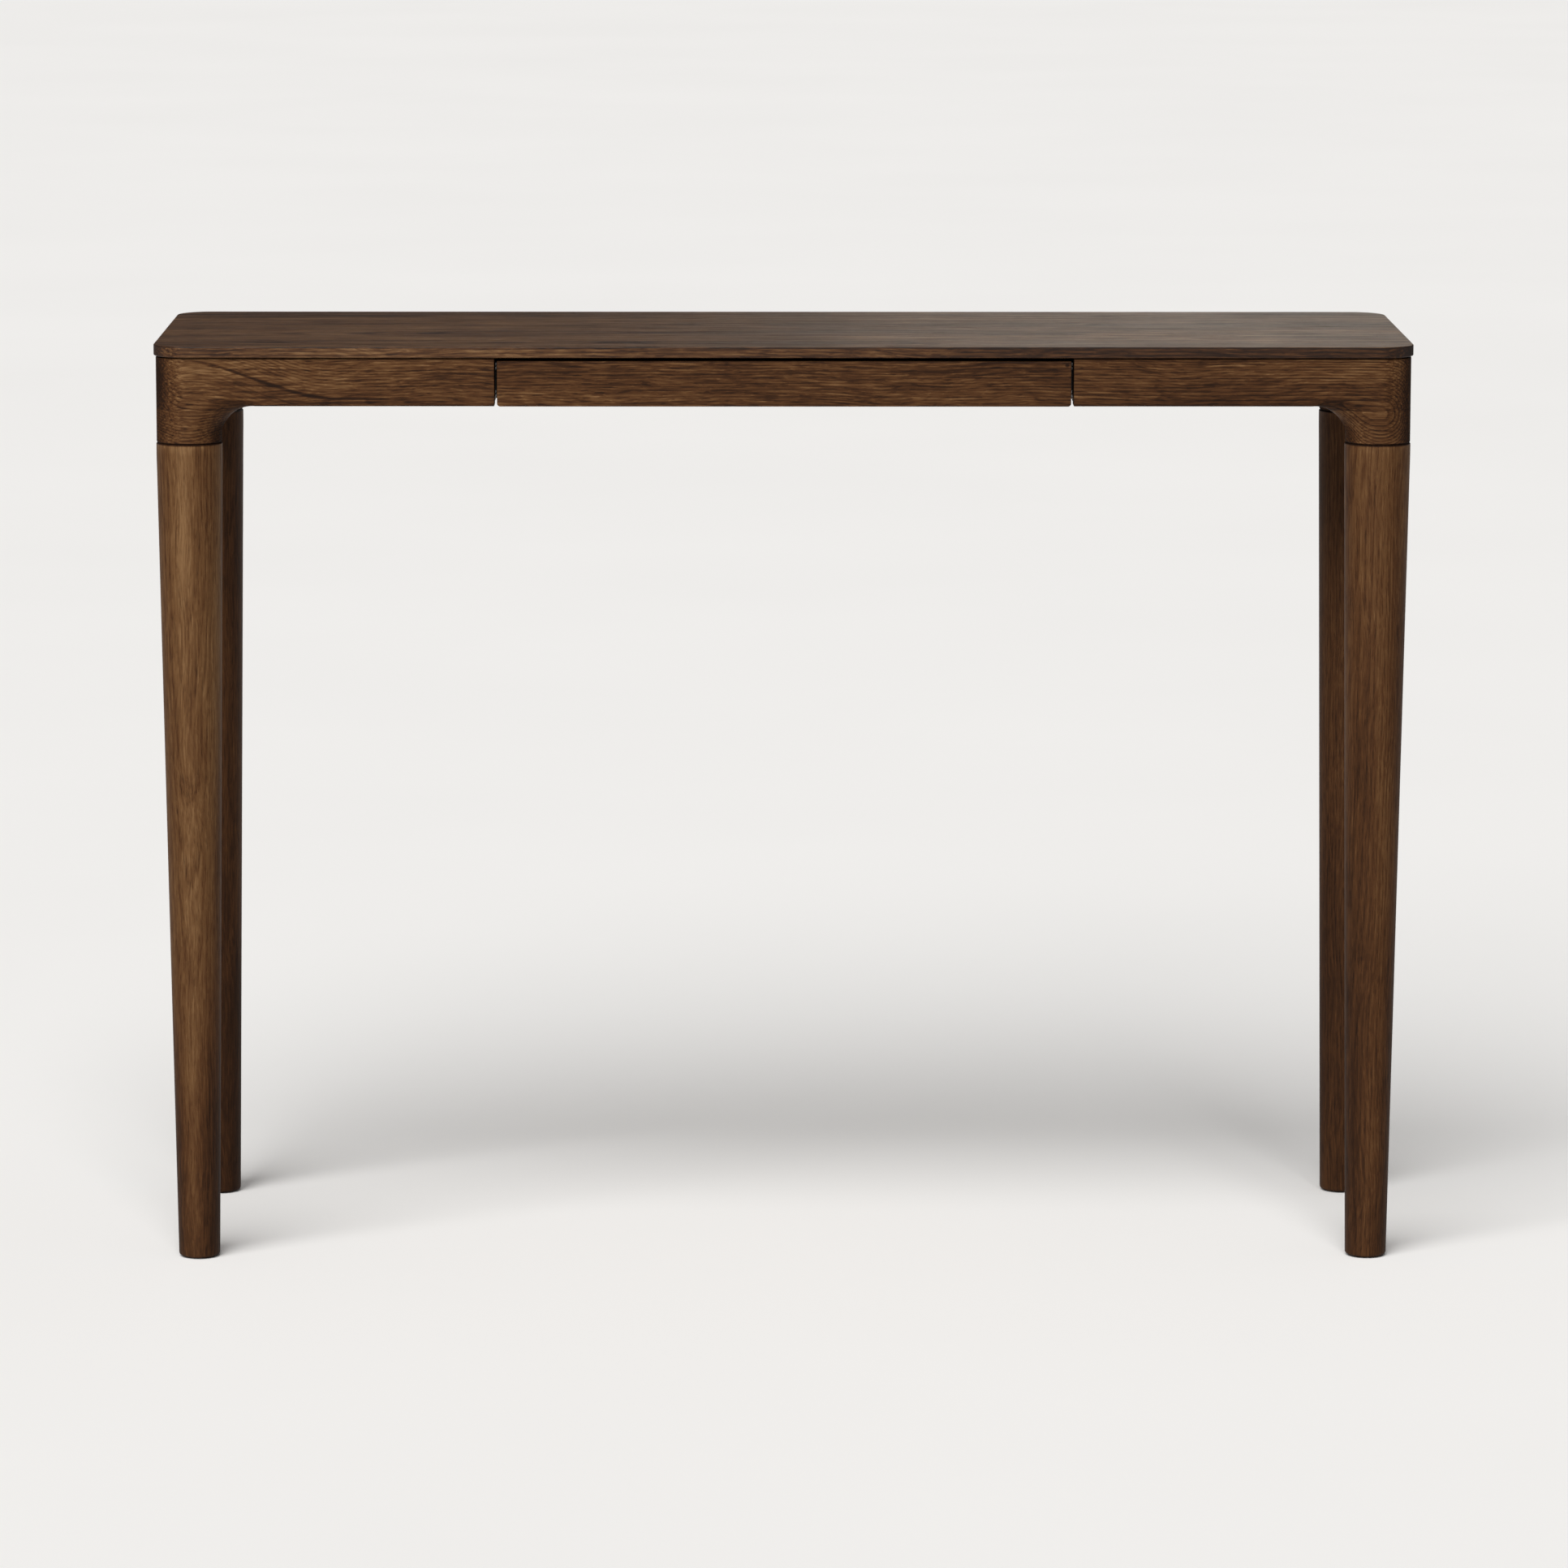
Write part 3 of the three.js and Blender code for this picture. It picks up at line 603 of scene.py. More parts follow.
def plastic(name, colour, pale, roughness):
    """Moulded plastic with a fine matt grain."""
    graph = Graph(name)
    grain = graph.noise(graph.point, 2600, 3)
    cloud = graph.noise(graph.point, 120, 3)
    rubbed = graph.math("MAXIMUM", graph.wear(), graph.step(cloud, 0.55, 0.8, 0.0, 0.5))
    gloss = roughness + (grain - 0.5) * 0.2
    return graph.finish(graph.mix(rubbed * 0.6, colour, pale), gloss, grain, 0.35, 0.03 * MM)


screw_zinc = metal("screw zinc", (0.60, 0.60, 0.57), (0.33, 0.33, 0.32), "z", 0.38)
ball_steel = metal("ball steel", (0.70, 0.70, 0.71), (0.52, 0.52, 0.53), "y", 0.18, 0.05)
brass = metal("turned brass", (0.72, 0.51, 0.22), (0.42, 0.27, 0.10), "z", 0.36)
cage_black = plastic("cage plastic", (0.012, 0.012, 0.013), (0.05, 0.05, 0.052), 0.55)
glide_brown = plastic("glide nylon", (0.045, 0.036, 0.028), (0.11, 0.09, 0.07), 0.6)


# ---- the top

plank_count = 4
head_bore_radius = 4.8 * MM
arris_painted_shade = (top_high.z - 0.8 * MM, 0.8 * MM, -0.35)  # painted shade: a dark line along the top's upper edge
top_screw_nodes = [f"top_screw_{side}_{place}" for side in sides for place in ("end", "front", "back")]


def shank_bore(node):
    """The hole for a top screw's shank, from the height of the rails' lower edge up."""
    middle = node_middle(node)
    start = (middle.x, middle.y, rail_bottom)
    return hole(top_screw[2] + hole_spare, start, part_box(node)[1].z + hole_spare - rail_bottom, "z")


def screw_bores(node, bottom, room):
    """A top screw's bores in the wood under the top. The wide one has so much room above the
    underside of the head."""
    middle = node_middle(node)
    start = (middle.x, middle.y, bottom - overcut)
    wide = hole(head_bore_radius, start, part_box(node)[0].z + room + overcut - bottom, "z")
    return [wide, shank_bore(node)]


# Painted shade: the top's edge grows darker towards the right end, and a dark line runs along its upper
# edge.
top_wood = wood(
    "top wood", "x", (0.0, top_high.z - 60 * MM), 1, ring=3.0 * MM, ring_depth=0.46, drift=14 * MM,
    waver=0.5, planks=(top_low.y, (top_high.y - top_low.y) / plank_count), tone=0.08, figure=1.3,
    rubbing=0.0, roughness=0.42, gloss=0.24, seams=[arris_painted_shade],
    marks=[(painted_edge_shading, "x", -0.4, 0.75, 0.03, -0.50)],
)
top = slab(top_low, top_high, "z", [top_corner_radius] * 4, top_edge_radius, 24, 6)
top = combined(top, [shank_bore(node) for node in top_screw_nodes])
piece("tabletop", top, [top_wood])


# ---- corners and rails

# At a corner, u runs from the leg's axis along a rail, and v from the leg's axis inwards. A
# round post stands on the leg, and its roundness fades along the hollow curve under a rail.

rail_ease = 0.8 * MM  # of the rails' inner lower edges and of the ends at the drawer
glue_u = fillet_centre - math.sqrt(fillet_radius**2 - (glue_line - fillet_start) ** 2)
post_edge = -math.sqrt(post_radius**2 - inner_v**2)
groove_edge = -math.sqrt((post_radius - groove_depth) ** 2 - inner_v**2)


def roundness_at(angle):
    return edge_radius + (post_radius - edge_radius) * math.cos(angle)


def face_v(u, z):
    """Where the outer face of a post and its rail stands at (u, z)."""
    over = max(fillet_centre - u, 0)
    up = z - fillet_start
    if up <= 0:
        roundness = post_radius
        inward = post_radius - u
    else:
        roundness = roundness_at(math.atan2(up, over))
        inward = math.hypot(over, up) - fillet_radius
    remaining = max(roundness - max(inward, 0), 0)
    v = roundness - post_radius - math.sqrt(max(roundness**2 - remaining**2, 0))
    if u < 0:
        v = max(v, -math.sqrt(max(post_radius**2 - u**2, 0)))
    return v


def rail_lower_edge(u):
    if u <= glue_u:
        return glue_line
    if u >= fillet_centre:
        return rail_bottom
    return fillet_start + math.sqrt(fillet_radius**2 - (fillet_centre - u) ** 2)


def rail_section(u, steps=26, ease_steps=3):
    """A rail's outline across its length at u, as (v, z) pairs."""
    lower = rail_lower_edge(u)
    groove_floor = rail_top - groove_height
    face_top = groove_floor - eased
    points = []
    for i in range(steps + 1):
        z = lower + (face_top - lower) * (i / steps) ** 2
        points.append((min(face_v(u, z), inner_v), z))
    face = points[-1][0]
    for inset, drop in reversed(quarter_round(eased, ease_steps)[:-1]):
        points.append((min(face + inset, inner_v), groove_floor - drop))
    wall = (post_radius - groove_depth) ** 2 - min(u, 0) ** 2
    groove_v = -math.sqrt(max(wall, 0))
    top = rail_top
    if groove_v >= inner_v:
        groove_v = inner_v
        top = groove_floor
    ease = rail_ease * min(max((u - glue_u) / (fillet_centre - glue_u), 0), 1)
    points += [(groove_v, groove_floor), (groove_v, top), (inner_v, top)]
    points += [(inner_v, lower + ease), (inner_v - ease, lower)]
    return points


def inset_ring(points, distance):
    """A closed outline of (v, z) pairs moved inwards; it runs clockwise in v and z."""
    tiny = 1e-9
    moved = []
    for i, point in enumerate(points):
        here = Vector(point)
        first = (here - Vector(points[i - 1])).normalized()
        second = (Vector(points[(i + 1) % len(points)]) - here).normalized()
        square = Vector((first.y, -first.x))
        normal = square + Vector((second.y, -second.x))
        if normal.length < tiny:
            normal = square.copy()
        normal.normalize()
        stretch = 1 / max(normal.dot(square), 0.5)
        moved.append(tuple(here + normal * distance * stretch))
    return moved


def corner_stations(first):
    """Places along u from a rail's end through the corner, close together where it curves."""
    beside = 0.2 * MM  # on both sides of the groove's edge
    stations = spaced(post_edge, groove_edge - beside, 5) if first < groove_edge else []
    stations += spaced(max(first, groove_edge + beside), 0, 14)
    stations += spaced(0, glue_u, 14)[1:]
    stations += spaced(glue_u, fillet_centre, 12)[1:]
    return stations + [fillet_centre + 20 * MM, fillet_centre + 60 * MM]


def rail_point(corner, run, u, v, z):
    """A corner's (u, v, z) as a world point, for a rail that runs along x or y."""
    sign_x, sign_y = corners[corner]
    if run == "y":
        u, v = v, u
    return (sign_x * (leg_x - u), sign_y * (leg_y - v), z)


def short_rail(corner):
    """A rail from a corner to the drawer's opening, with a rounded end."""
    end = leg_x - opening_half
    rings = [(u, rail_section(u)) for u in corner_stations(post_edge)]
    for inset, rise in reversed(quarter_round(rail_ease, 3)):
        rings.append((end - rise, inset_ring(rail_section(end), inset)))
    return skinned([[rail_point(corner, "x", u, v, z) for v, z in ring] for u, ring in rings])


def long_rail(corner, run, first, length):
    """A rail between two corners whose posts are length apart."""
    near = corner_stations(first)
    stations = [(u, u) for u in near] + [(length - u, u) for u in reversed(near)]
    return skinned([
        [rail_point(corner, run, place, v, z) for v, z in rail_section(u)]
        for place, u in stations
    ])


# ---- corner blocks

core_overlap = 2 * MM  # of a block's core below its glue line
inner_angle = math.asin(inner_v / post_radius)  # where the post meets a tongue's inner face
round_steps = 10
face_steps = 28
settling_rounds = 30  # after which rounded_point's angle has settled


def rounded_point(z, turn):
    """A point of the rounded face at height z, where turn goes from 0 at the tip to a right angle."""
    up = z - fillet_start
    angle = math.asin(up / fillet_radius)
    for settling in range(settling_rounds):
        roundness = roundness_at(angle)
        reach = fillet_radius + roundness * (1 - math.cos(turn))
        over = math.sqrt(reach**2 - up**2)
        angle = math.atan2(up, over)
    return fillet_centre - over, roundness * (1 - math.sin(turn)) - post_radius


def resampled(points, steps):
    """The same line with equally spaced points."""
    lengths = [0.0]
    for (a0, b0), (a1, b1) in zip(points, points[1:]):
        lengths.append(lengths[-1] + math.hypot(a1 - a0, b1 - b0))
    result = []
    index = 0
    for target in spaced(0, lengths[-1], steps):
        while index < len(points) - 2 and lengths[index + 1] < target:
            index += 1
        span = lengths[index + 1] - lengths[index]
        part = (target - lengths[index]) / span if span > 0 else 0
        (a0, b0), (a1, b1) = points[index], points[index + 1]
        result.append((a0 + (a1 - a0) * part, b0 + (b1 - b0) * part))
    return result


def circle_part(radius, start, end, steps):
    return [(radius * math.cos(t), radius * math.sin(t)) for t in spaced(start, end, steps)]


def tongue_face(z):
    """The outer face of a tongue at height z, from its inner corner to the post."""
    points = [rounded_point(z, turn) for turn in spaced(0, math.pi / 2, 60)]
    points = [(u, v) for u, v in points if v <= inner_v]
    first_u, first_v = points[0]
    if first_v < inner_v - 0.01 * MM:
        points.insert(0, (first_u, inner_v))
    return points


def block_outline(z, radius):
    """A corner block's outline: one half from its inner diagonal to its outer one, and its mirror."""
    quarter = math.pi / 4
    half = circle_part(radius, quarter, inner_angle, round_steps)
    corner_u, corner_v = half[-1]
    if z > fillet_start:
        face = resampled(tongue_face(z), face_steps)
        corner_v = inner_v
    else:
        face = circle_part(radius, inner_angle, -2 * quarter, face_steps)
    half += [(u, corner_v) for u in spaced(corner_u, face[0][0], 4)[1:]]
    half += face[1:]
    half += circle_part(radius, -2 * quarter, -3 * quarter, round_steps)[1:]
    return half + [(v, u) for u, v in reversed(half[1:-1])]


def corner_block(corner):
    """A block with a tongue under each rail, and a core that fills the corner between them."""

    def ring(outline, z):
        return [rail_point(corner, "x", u, v, z) for u, v in outline]

    bottom = block_outline(block_bottom, post_radius - joint_chamfer)
    rim = [Vector(point).normalized() * (insert_radius + fit) for point in bottom]
    rings = [ring(rim, block_bottom + insert_hole_depth), ring(rim, block_bottom)]
    rings.append(ring(bottom, block_bottom))
    top_angle = math.asin((glue_line - glue_gap - fillet_start) / fillet_radius)
    levels = [fillet_start + fillet_radius * math.sin(t) for t in spaced(0, top_angle, 16)]
    for z in [block_bottom + joint_chamfer, *levels]:
        rings.append(ring(block_outline(z, post_radius), z))
    start = inner_v + fit
    low_angle = math.asin(start / post_radius)
    core = [(start, start)] + circle_part(post_radius, low_angle, math.pi / 2 - low_angle, 24)
    core_rings = [ring(core, z) for z in (glue_line - core_overlap, rail_top)]
    return combined(skinned(rings), [skinned(core_rings)], "UNION")


# The grain of each rail and block. A pith in front of the face draws closed ellipses on a post.
# Painted shade: the front rails grow darker along their bottom strip, but not over the corners. The shading
# marks below are painted light and shade: lighter over the front left corner, darker along most of the
# right front rail, at the far ends of the front rails and the right block, and at the front ends of the
# side rails.
rail_painted_bottom_shade = (painted_bottom_shade, rail_bottom, rail_bottom + 9 * MM, -0.22)
rail_looks = {
    "front_rail_left": dict(
        pith=(front_face + 60 * MM, 0.800), seed=2, tone=0.035, bend=(-0.575, -0.425, 0.036),
        marks=[
            rail_painted_bottom_shade,
            (streak, 0.8765, 2.0 * MM, -0.575, -0.34, -0.5),
            (painted_shading, "x", -0.56, -0.49, 0.07, 0.0),
            (painted_shading, "x", -0.597, -0.572, -0.26, 0.0),
        ],
    ),
    "front_rail_right": dict(
        pith=(front_face - 24 * MM, 0.826), seed=3, tone=0.02, ring=2.2 * MM, drift=3 * MM,
        ring_depth=0.40, waver=0.4, contrast=0.9,
        marks=[
            rail_painted_bottom_shade,
            (painted_shading, "x", 0.40, 0.54, -0.13, 0.0),
            (painted_shading, "x", 0.584, 0.598, 0.0, -0.12),
        ],
    ),
    "back_rail": dict(pith=(-front_face + 50 * MM, 0.790), seed=4, tone=-0.02),
    "side_rail_left": dict(pith=(-0.52, 0.800), seed=5, marks=[(painted_shading, "y", -0.150, -0.09, -0.22, 0.0)]),
    "side_rail_right": dict(
        pith=(0.64, 0.870), seed=6, tone=-0.04, marks=[(painted_shading, "y", -0.150, -0.11, -0.10, 0.0)],
    ),
    "corner_block_front_left": dict(
        pith=(front_face + 22 * MM, 0.770), seed=7, tone=-0.07, drift=5 * MM, ring_depth=0.34,
        waver=0.30, contrast=0.8,
        marks=[(painted_shading, "x", -0.56, -0.53, 0.06, -0.02), (painted_shading, "x", -0.598, -0.584, 0.16, 0.0)],
    ),
    "corner_block_front_right": dict(
        pith=(front_face - 24 * MM, 0.826), seed=3, tone=0.13, ring=2.2 * MM, drift=2 * MM,
        ring_depth=0.5, waver=0.35, contrast=0.7, marks=[(painted_shading, "x", 0.575, 0.597, 0.0, -0.10)],
    ),
    "corner_block_back_left": dict(
        pith=(-front_face + 28 * MM, 0.82), seed=8, tone=-0.04, drift=4 * MM, waver=0.3,
    ),
    "corner_block_back_right": dict(
        pith=(-front_face - 60 * MM, 0.80), seed=9, tone=-0.02, drift=4 * MM, waver=0.3,
    ),
}
glue_seam = (glue_line, 0.7 * MM, -0.12)
post_seam = (1.8 * MM, -0.6)  # the dark line where a leg meets its post: half its width, its tone
rail_head_room = 1.7 * MM


def rail_piece(node, mesh):
    axis = "y" if node.startswith("side") else "x"
    seams = [glue_seam]
    if node.startswith("corner"):
        seams.append((block_bottom, *post_seam))
    look = wood(node.replace("_", " ") + " wood", axis, seams=seams, **rail_looks[node])
    piece(node, mesh, [look])


for side in sides:
    rail_piece(f"front_rail_{side}", short_rail(f"front_{side}"))
    rail = long_rail(f"front_{side}", "y", inner_v + fit, 2 * leg_y)
    rail = combined(rail, screw_bores(f"top_screw_{side}_end", rail_bottom, rail_head_room))
    rail_piece(f"side_rail_{side}", rail)
rail_piece("back_rail", long_rail("back_left", "x", post_edge, 2 * leg_x))
for corner in corners:
    rail_piece(f"corner_block_{corner}", corner_block(corner))


# ---- legs

# Painted light and shade: most of the legs grow darker towards the foot, the back left one also near its
# top, and the back right one is darkest at mid height and lighter near its top. The bands on the front legs
# are painted highlights. The front legs' higher tones and the back legs' lower ones are partly painted
# light and shade, partly the wood's own tone.
painted_foot_shade = (painted_shading, "z", 0.05, 0.55, -0.24, 0.0)
leg_looks = {
    "front_left": dict(
        pith=(-0.560, -0.090), seed=11, tone=0.10, marks=[painted_foot_shade, (painted_highlight_band, -0.572, 0.018, 0.20)],
    ),
    "front_right": dict(
        pith=(0.610, -0.120), seed=12, tone=0.06, marks=[painted_foot_shade, (painted_highlight_band, 0.572, 0.012, 0.10)],
    ),
    "back_left": dict(
        pith=(-0.600, 0.200), seed=13, tone=-0.12,
        marks=[painted_foot_shade, (painted_shading, "z", 0.50, 0.68, 0.0, -0.16)],
    ),
    "back_right": dict(
        pith=(0.530, 0.190), seed=14, tone=-0.12,
        marks=[(painted_shading, "z", 0.10, 0.35, -0.08, -0.14), (painted_shading, "z", 0.35, 0.65, 0.0, 0.18)],
    ),
}
foot_radius = 19.9 * MM
foot_edge_radius = 3.2 * MM
foot_bottom = leg_low.z
straight_length = 12 * MM
leg_top_radius = (leg_high.x - leg_low.x) / 2
glide_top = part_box("foot_glide_front_left")[1].z
bolt_low, bolt_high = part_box("leg_bolt_front_left")
bolt_radius = 4 * MM
glide_radius = 13 * MM
glide_thickness = 3 * MM
glide_edge = 0.8 * MM
nail_radius = 1.5 * MM
steps_in_turn = 8  # of a thread
# The pitch and depth of each thread.
bolt_thread = (2.0 * MM, 1.2 * MM)
insert_thread = (2.5 * MM, 0.9 * MM)
screw_thread = (1.35 * MM, 0.75 * MM)


def rounded_rim(radius, edge, bottom, steps):
    """The lower edge of a turned foot, as (radius, height) pairs."""
    angles = spaced(-math.pi / 2, 0, steps)
    return [(radius - edge + edge * math.cos(t), bottom + edge * (1 + math.sin(t))) for t in angles]


def leg_profile():
    """A tapered leg with bores for its glide and its bolt. The taper ends in a straight length
    under the joint with a soft bend."""
    nail_bore = nail_radius + 2 * fit
    bolt_bore = bolt_radius + 2 * fit
    taper_top = leg_top - straight_length
    return [
        (0, glide_top + fit),
        (nail_bore, glide_top + fit),
        (nail_bore, glide_thickness + fit),
        (glide_radius + fit, glide_thickness + fit),
        (glide_radius + fit, foot_bottom),
        *rounded_rim(foot_radius, foot_edge_radius, foot_bottom, 8),
        (leg_top_radius - 0.25 * MM, taper_top - 14 * MM),
        (leg_top_radius - 0.06 * MM, taper_top - 4 * MM),
        (leg_top_radius, taper_top + 2 * MM),
        (leg_top_radius, leg_top - joint_chamfer),
        (leg_top_radius - joint_chamfer, leg_top),
        (bolt_bore, leg_top),
        (bolt_bore, bolt_low.z - fit),
        (0, bolt_low.z - fit),
    ]


def threaded(profile, pitch, depth, at, axis="z", flip=False, segments=24):
    """A turned rod whose profile rows (radius, height, thread) carry a helical thread."""
    rows = []
    for first, second in zip(profile, profile[1:]):
        turns = abs(second[1] - first[1]) / pitch
        steps = max(int(turns * steps_in_turn), 1) if first[2] or second[2] else 1
        for i in range(steps):
            rows.append([a + (b - a) * (i / steps) for a, b in zip(first, second)])
    rows.append(profile[-1])
    rings = []
    for radius, level, cut in rows:
        waves = [abs(((level / pitch - i / segments) % 1) * 2 - 1) for i in range(segments)]
        radii = [radius - min(cut * depth * wave, 0.6 * radius) for wave in waves]
        rings.append(turned_ring(radii, -level if flip else level, at, axis))
    return skinned(rings, caps=False)


def leg_bolt(at):
    neck = bolt_radius - 0.8 * MM
    waist = leg_top - 4 * MM
    low = bolt_low.z
    high = bolt_high.z
    profile = [
        (0, low, 0),
        (bolt_radius, low + 8 * MM, 1),
        (bolt_radius, waist - 1 * MM, 1),
        (neck, waist, 0),
        (neck, leg_top, 0),
        (bolt_radius, leg_top + 0.5 * MM, 0.4),
        (bolt_radius, high - 1 * MM, 0.4),
        (bolt_radius - 1 * MM, high, 0),
        (0, high, 0),
    ]
    return threaded(profile, *bolt_thread, at)


def leg_insert(corner, at):
    low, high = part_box(f"leg_insert_{corner}")
    bore = bolt_radius + fit
    profile = [
        (bore, low.z, 0),
        (insert_radius - 1 * MM, low.z, 0),
        (insert_radius, low.z + 1 * MM, 1),
        (insert_radius, high.z - 1 * MM, 1),
        (insert_radius - 0.6 * MM, high.z, 0),
        (bore, high.z, 0),
        (bore, low.z, 0),
    ]
    return threaded(profile, *insert_thread, at, segments=40)


def foot_glide(at):
    chamfer = 0.3 * MM
    profile = [
        (0, 0),
        *rounded_rim(glide_radius, glide_edge, 0, 5),
        (glide_radius, glide_thickness - chamfer),
        (glide_radius - chamfer, glide_thickness),
        (nail_radius, glide_thickness),
        (nail_radius, glide_top - 2 * nail_radius),
        (0, glide_top),
    ]
    return lathe(profile, 64, at)


for corner, (sign_x, sign_y) in corners.items():
    foot = (sign_x * leg_x, sign_y * leg_y, 0)
    leg_wood = wood(
        f"leg {corner} wood", "z", seams=[(leg_top, *post_seam)], contrast=0.5, ring_depth=0.15,
        **leg_looks[corner],
    )
    piece(f"leg_{corner}", lathe(leg_profile(), 96, foot), [leg_wood])
    piece(f"leg_bolt_{corner}", leg_bolt(foot), [screw_zinc])
    piece(f"leg_insert_{corner}", leg_insert(corner, foot), [brass])
    piece(f"foot_glide_{corner}", foot_glide(foot), [glide_brown])


# ---- screws

def screw(node, axis, towards, sizes):
    """Makes a pan-head wood screw with a cross recess, in the CAD screw's place."""
    head_radius, head_height, shank_radius = sizes
    low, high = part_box(node)
    index = "xyz".index(axis)
    length = high[index] - low[index]
    at = list(node_middle(node))
    at[index] = low[index] if towards > 0 else high[index]
    crown = 0.05 * head_height
    edge = 0.1 * MM
    dome = [
        (head_radius * math.sin(t), 0.25 * head_height * (1 - math.cos(t)) + crown, 0)
        for t in spaced(0.15, 1.2, 6)
    ]
    profile = [
        (0, crown, 0),
        *dome,
        (head_radius, head_height / 2, 0),
        (head_radius, head_height - edge, 0),
        (head_radius - edge, head_height, 0),
        (shank_radius, head_height, 0),
        (shank_radius, head_height + 1.5 * shank_radius, 0),
        (shank_radius, head_height + 2.5 * shank_radius, 1),
        (shank_radius, length - 2.2 * shank_radius, 1),
        (0.15 * shank_radius, length, 0),
        (0, length, 0),
    ]
    rod = threaded(profile, *screw_thread, at, axis, flip=towards < 0)
    slots = []
    long = 0.55 * head_radius
    wide = 0.13 * head_radius
    for a, b in ((long, wide), (wide, long)):
        reach = Vector(placed((a, b, 0.6 * head_height), axis))
        slots.append(box_tool(Vector(at) - reach, Vector(at) + reach))
    piece(node, combined(rod, slots), [screw_zinc])


for node in top_screw_nodes:
    screw(node, "z", 1, top_screw)
for side, sign in sides.items():
    screw(f"drawer_front_screw_{side}", "y", -1, front_screw)
    for place in ("front", "back"):
        screw(f"bearer_screw_{side}_{place}", "x", sign, slide_screw)
        screw(f"box_screw_{side}_{place}", "x", -sign, slide_screw)


# ---- bearers and the drawer box

slide_middle = node_middle("slide_outer_left")
slide_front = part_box("slide_outer_left")[0].y
slide_screw_y = [node_middle(f"bearer_screw_left_{place}").y for place in ("front", "back")]
front_screws = [node_middle(f"drawer_front_screw_{side}") for side in sides]
slide_hole_radius = 2.3 * MM
front_hole_radius = 2.5 * MM
bearer_hole_length = 11.3 * MM
bearer_head_room = 2.7 * MM
bearer_edge = 0.8 * MM
side_hole_length = 11.7 * MM
box_edge = 0.7 * MM
panel_edge = 0.4 * MM
around_panel = Vector((fit, fit, fit))
panel_low, panel_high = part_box("drawer_bottom")


def slide_holes(x, length):
    """Holes for the slides' screws, from x along +x."""
    return [hole(slide_hole_radius, (x, y, slide_middle.z), length, "x") for y in slide_screw_y]


def front_holes(y, length):
    """Holes for the two screws of the drawer front, from y along +y."""
    return [hole(front_hole_radius, (middle.x, y, middle.z), length, "y") for middle in front_screws]


def bearer(side):
    low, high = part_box(f"drawer_bearer_{side}")
    x = high.x + overcut - bearer_hole_length if side == "left" else low.x - overcut
    tools = []
    for place in ("front", "back"):
        tools += screw_bores(f"top_screw_{side}_{place}", low.z, bearer_head_room)
    return combined(board(low, high, "x", bearer_edge), tools + slide_holes(x, bearer_hole_length))


def box_board(node, thin):
    """A board of the drawer box, thin along x or y, with its holes and the bottom's groove."""
    low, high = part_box(node)
    tools = [box_tool(panel_low - around_panel, panel_high + around_panel)]
    if node == "drawer_side_left":
        tools += slide_holes(low.x - overcut, side_hole_length)
    if node == "drawer_side_right":
        tools += slide_holes(high.x + overcut - side_hole_length, side_hole_length)
    if node == "drawer_box_front":
        tools += front_holes(low.y - overcut, high.y - low.y + 2 * overcut)
    return combined(board(low, high, thin, box_edge), tools)


for side, sign in sides.items():
    bearer_wood = wood(
        f"bearer {side} wood", "y", (sign * 0.33, 0.80), 20 + sign, tone=-0.06, pores=0.8,
        roughness=0.55,
    )
    piece(f"drawer_bearer_{side}", bearer(side), [bearer_wood])

# Each board's thin direction, its grain's direction, its pith and its seed.
box_looks = {
    "drawer_side_left": ("x", "y", (-0.30, 0.82), 31),
    "drawer_side_right": ("x", "y", (0.31, 0.88), 32),
    "drawer_box_front": ("y", "x", (-0.19, 0.82), 33),
    "drawer_box_back": ("y", "x", (0.16, 0.88), 34),
    "drawer_bottom": ("z", "x", (0.02, 0.70), 35),
}
for node, (thin, grain, pith, seed) in box_looks.items():
    box_wood = wood(
        node.replace("_", " ") + " wood", grain, pith, seed, ring=2.2 * MM, stops=pale_oak, pores=0.28,
        roughness=0.5,
    )
    is_bottom = node == "drawer_bottom"
    fine = board(panel_low, panel_high, thin, panel_edge) if is_bottom else box_board(node, thin)
    piece(node, fine, [box_wood])

# The drawer front has round lower corners and a cove along its lower back edge.
front_corner_radius = 3 * MM
front_edge = 0.7 * MM
cove_radius = 10 * MM
cove_overcut = 5 * MM
front_pilot = 13 * MM
front = slab(front_low, front_high, "y", [front_edge] * 2 + [front_corner_radius] * 2, front_edge, 8, 4)
cove_start = (front_low.x - cove_overcut, front_high.y, front_low.z)
cove = hole(cove_radius, cove_start, front_high.x - front_low.x + 2 * cove_overcut, "x", 96)
# Painted shade: the drawer front grows darker towards its bottom edge and towards its right end.
front_wood = wood(
    "drawer front wood", "x", (front_face + 55 * MM, 0.772), 10, tone=0.01, drift=6 * MM,
    marks=[
        (painted_bottom_shade, front_low.z, front_low.z + 8 * MM, -0.13),
        (painted_shading, "x", 0.0, 0.26, 0.0, -0.07),
        (knot, 0.2685, 0.8715, 1.3 * MM),
    ],
)
front = combined(front, [cove, *front_holes(front_high.y - front_pilot, front_pilot + overcut)])
piece("drawer_front", front, [front_wood])


# ---- slides

# In an outline of a slide's part, a runs from the bearer's face towards the drawer and b up
# from the slide's middle.
sheet = 1 * MM
sheet_bend = 0.9 * MM
cage_sheet = 0.8 * MM
cage_bend = 0.7 * MM
flange_step = 3.8 * MM  # between the flanges of neighbouring members
outer_half = 17.5 * MM - sheet / 2
middle_half = outer_half - flange_step
inner_half = middle_half - flange_step
cut_depth = 3 * MM
slot_places = (46 * MM, 152 * MM, 184 * MM)  # from the slide's front end
slot_reach = Vector((0, 6 * MM, 2.2 * MM))
slot_radius = 2.19 * MM
window_margin = 6 * MM
window_radius = 2 * MM
ball_radius = 1.1 * MM
ball_hole_radius = 1.2 * MM
balls_in_row = 4
# The balls run along the flanges of neighbouring members.
outer_track = 15.1 * MM
inner_track = 11.3 * MM


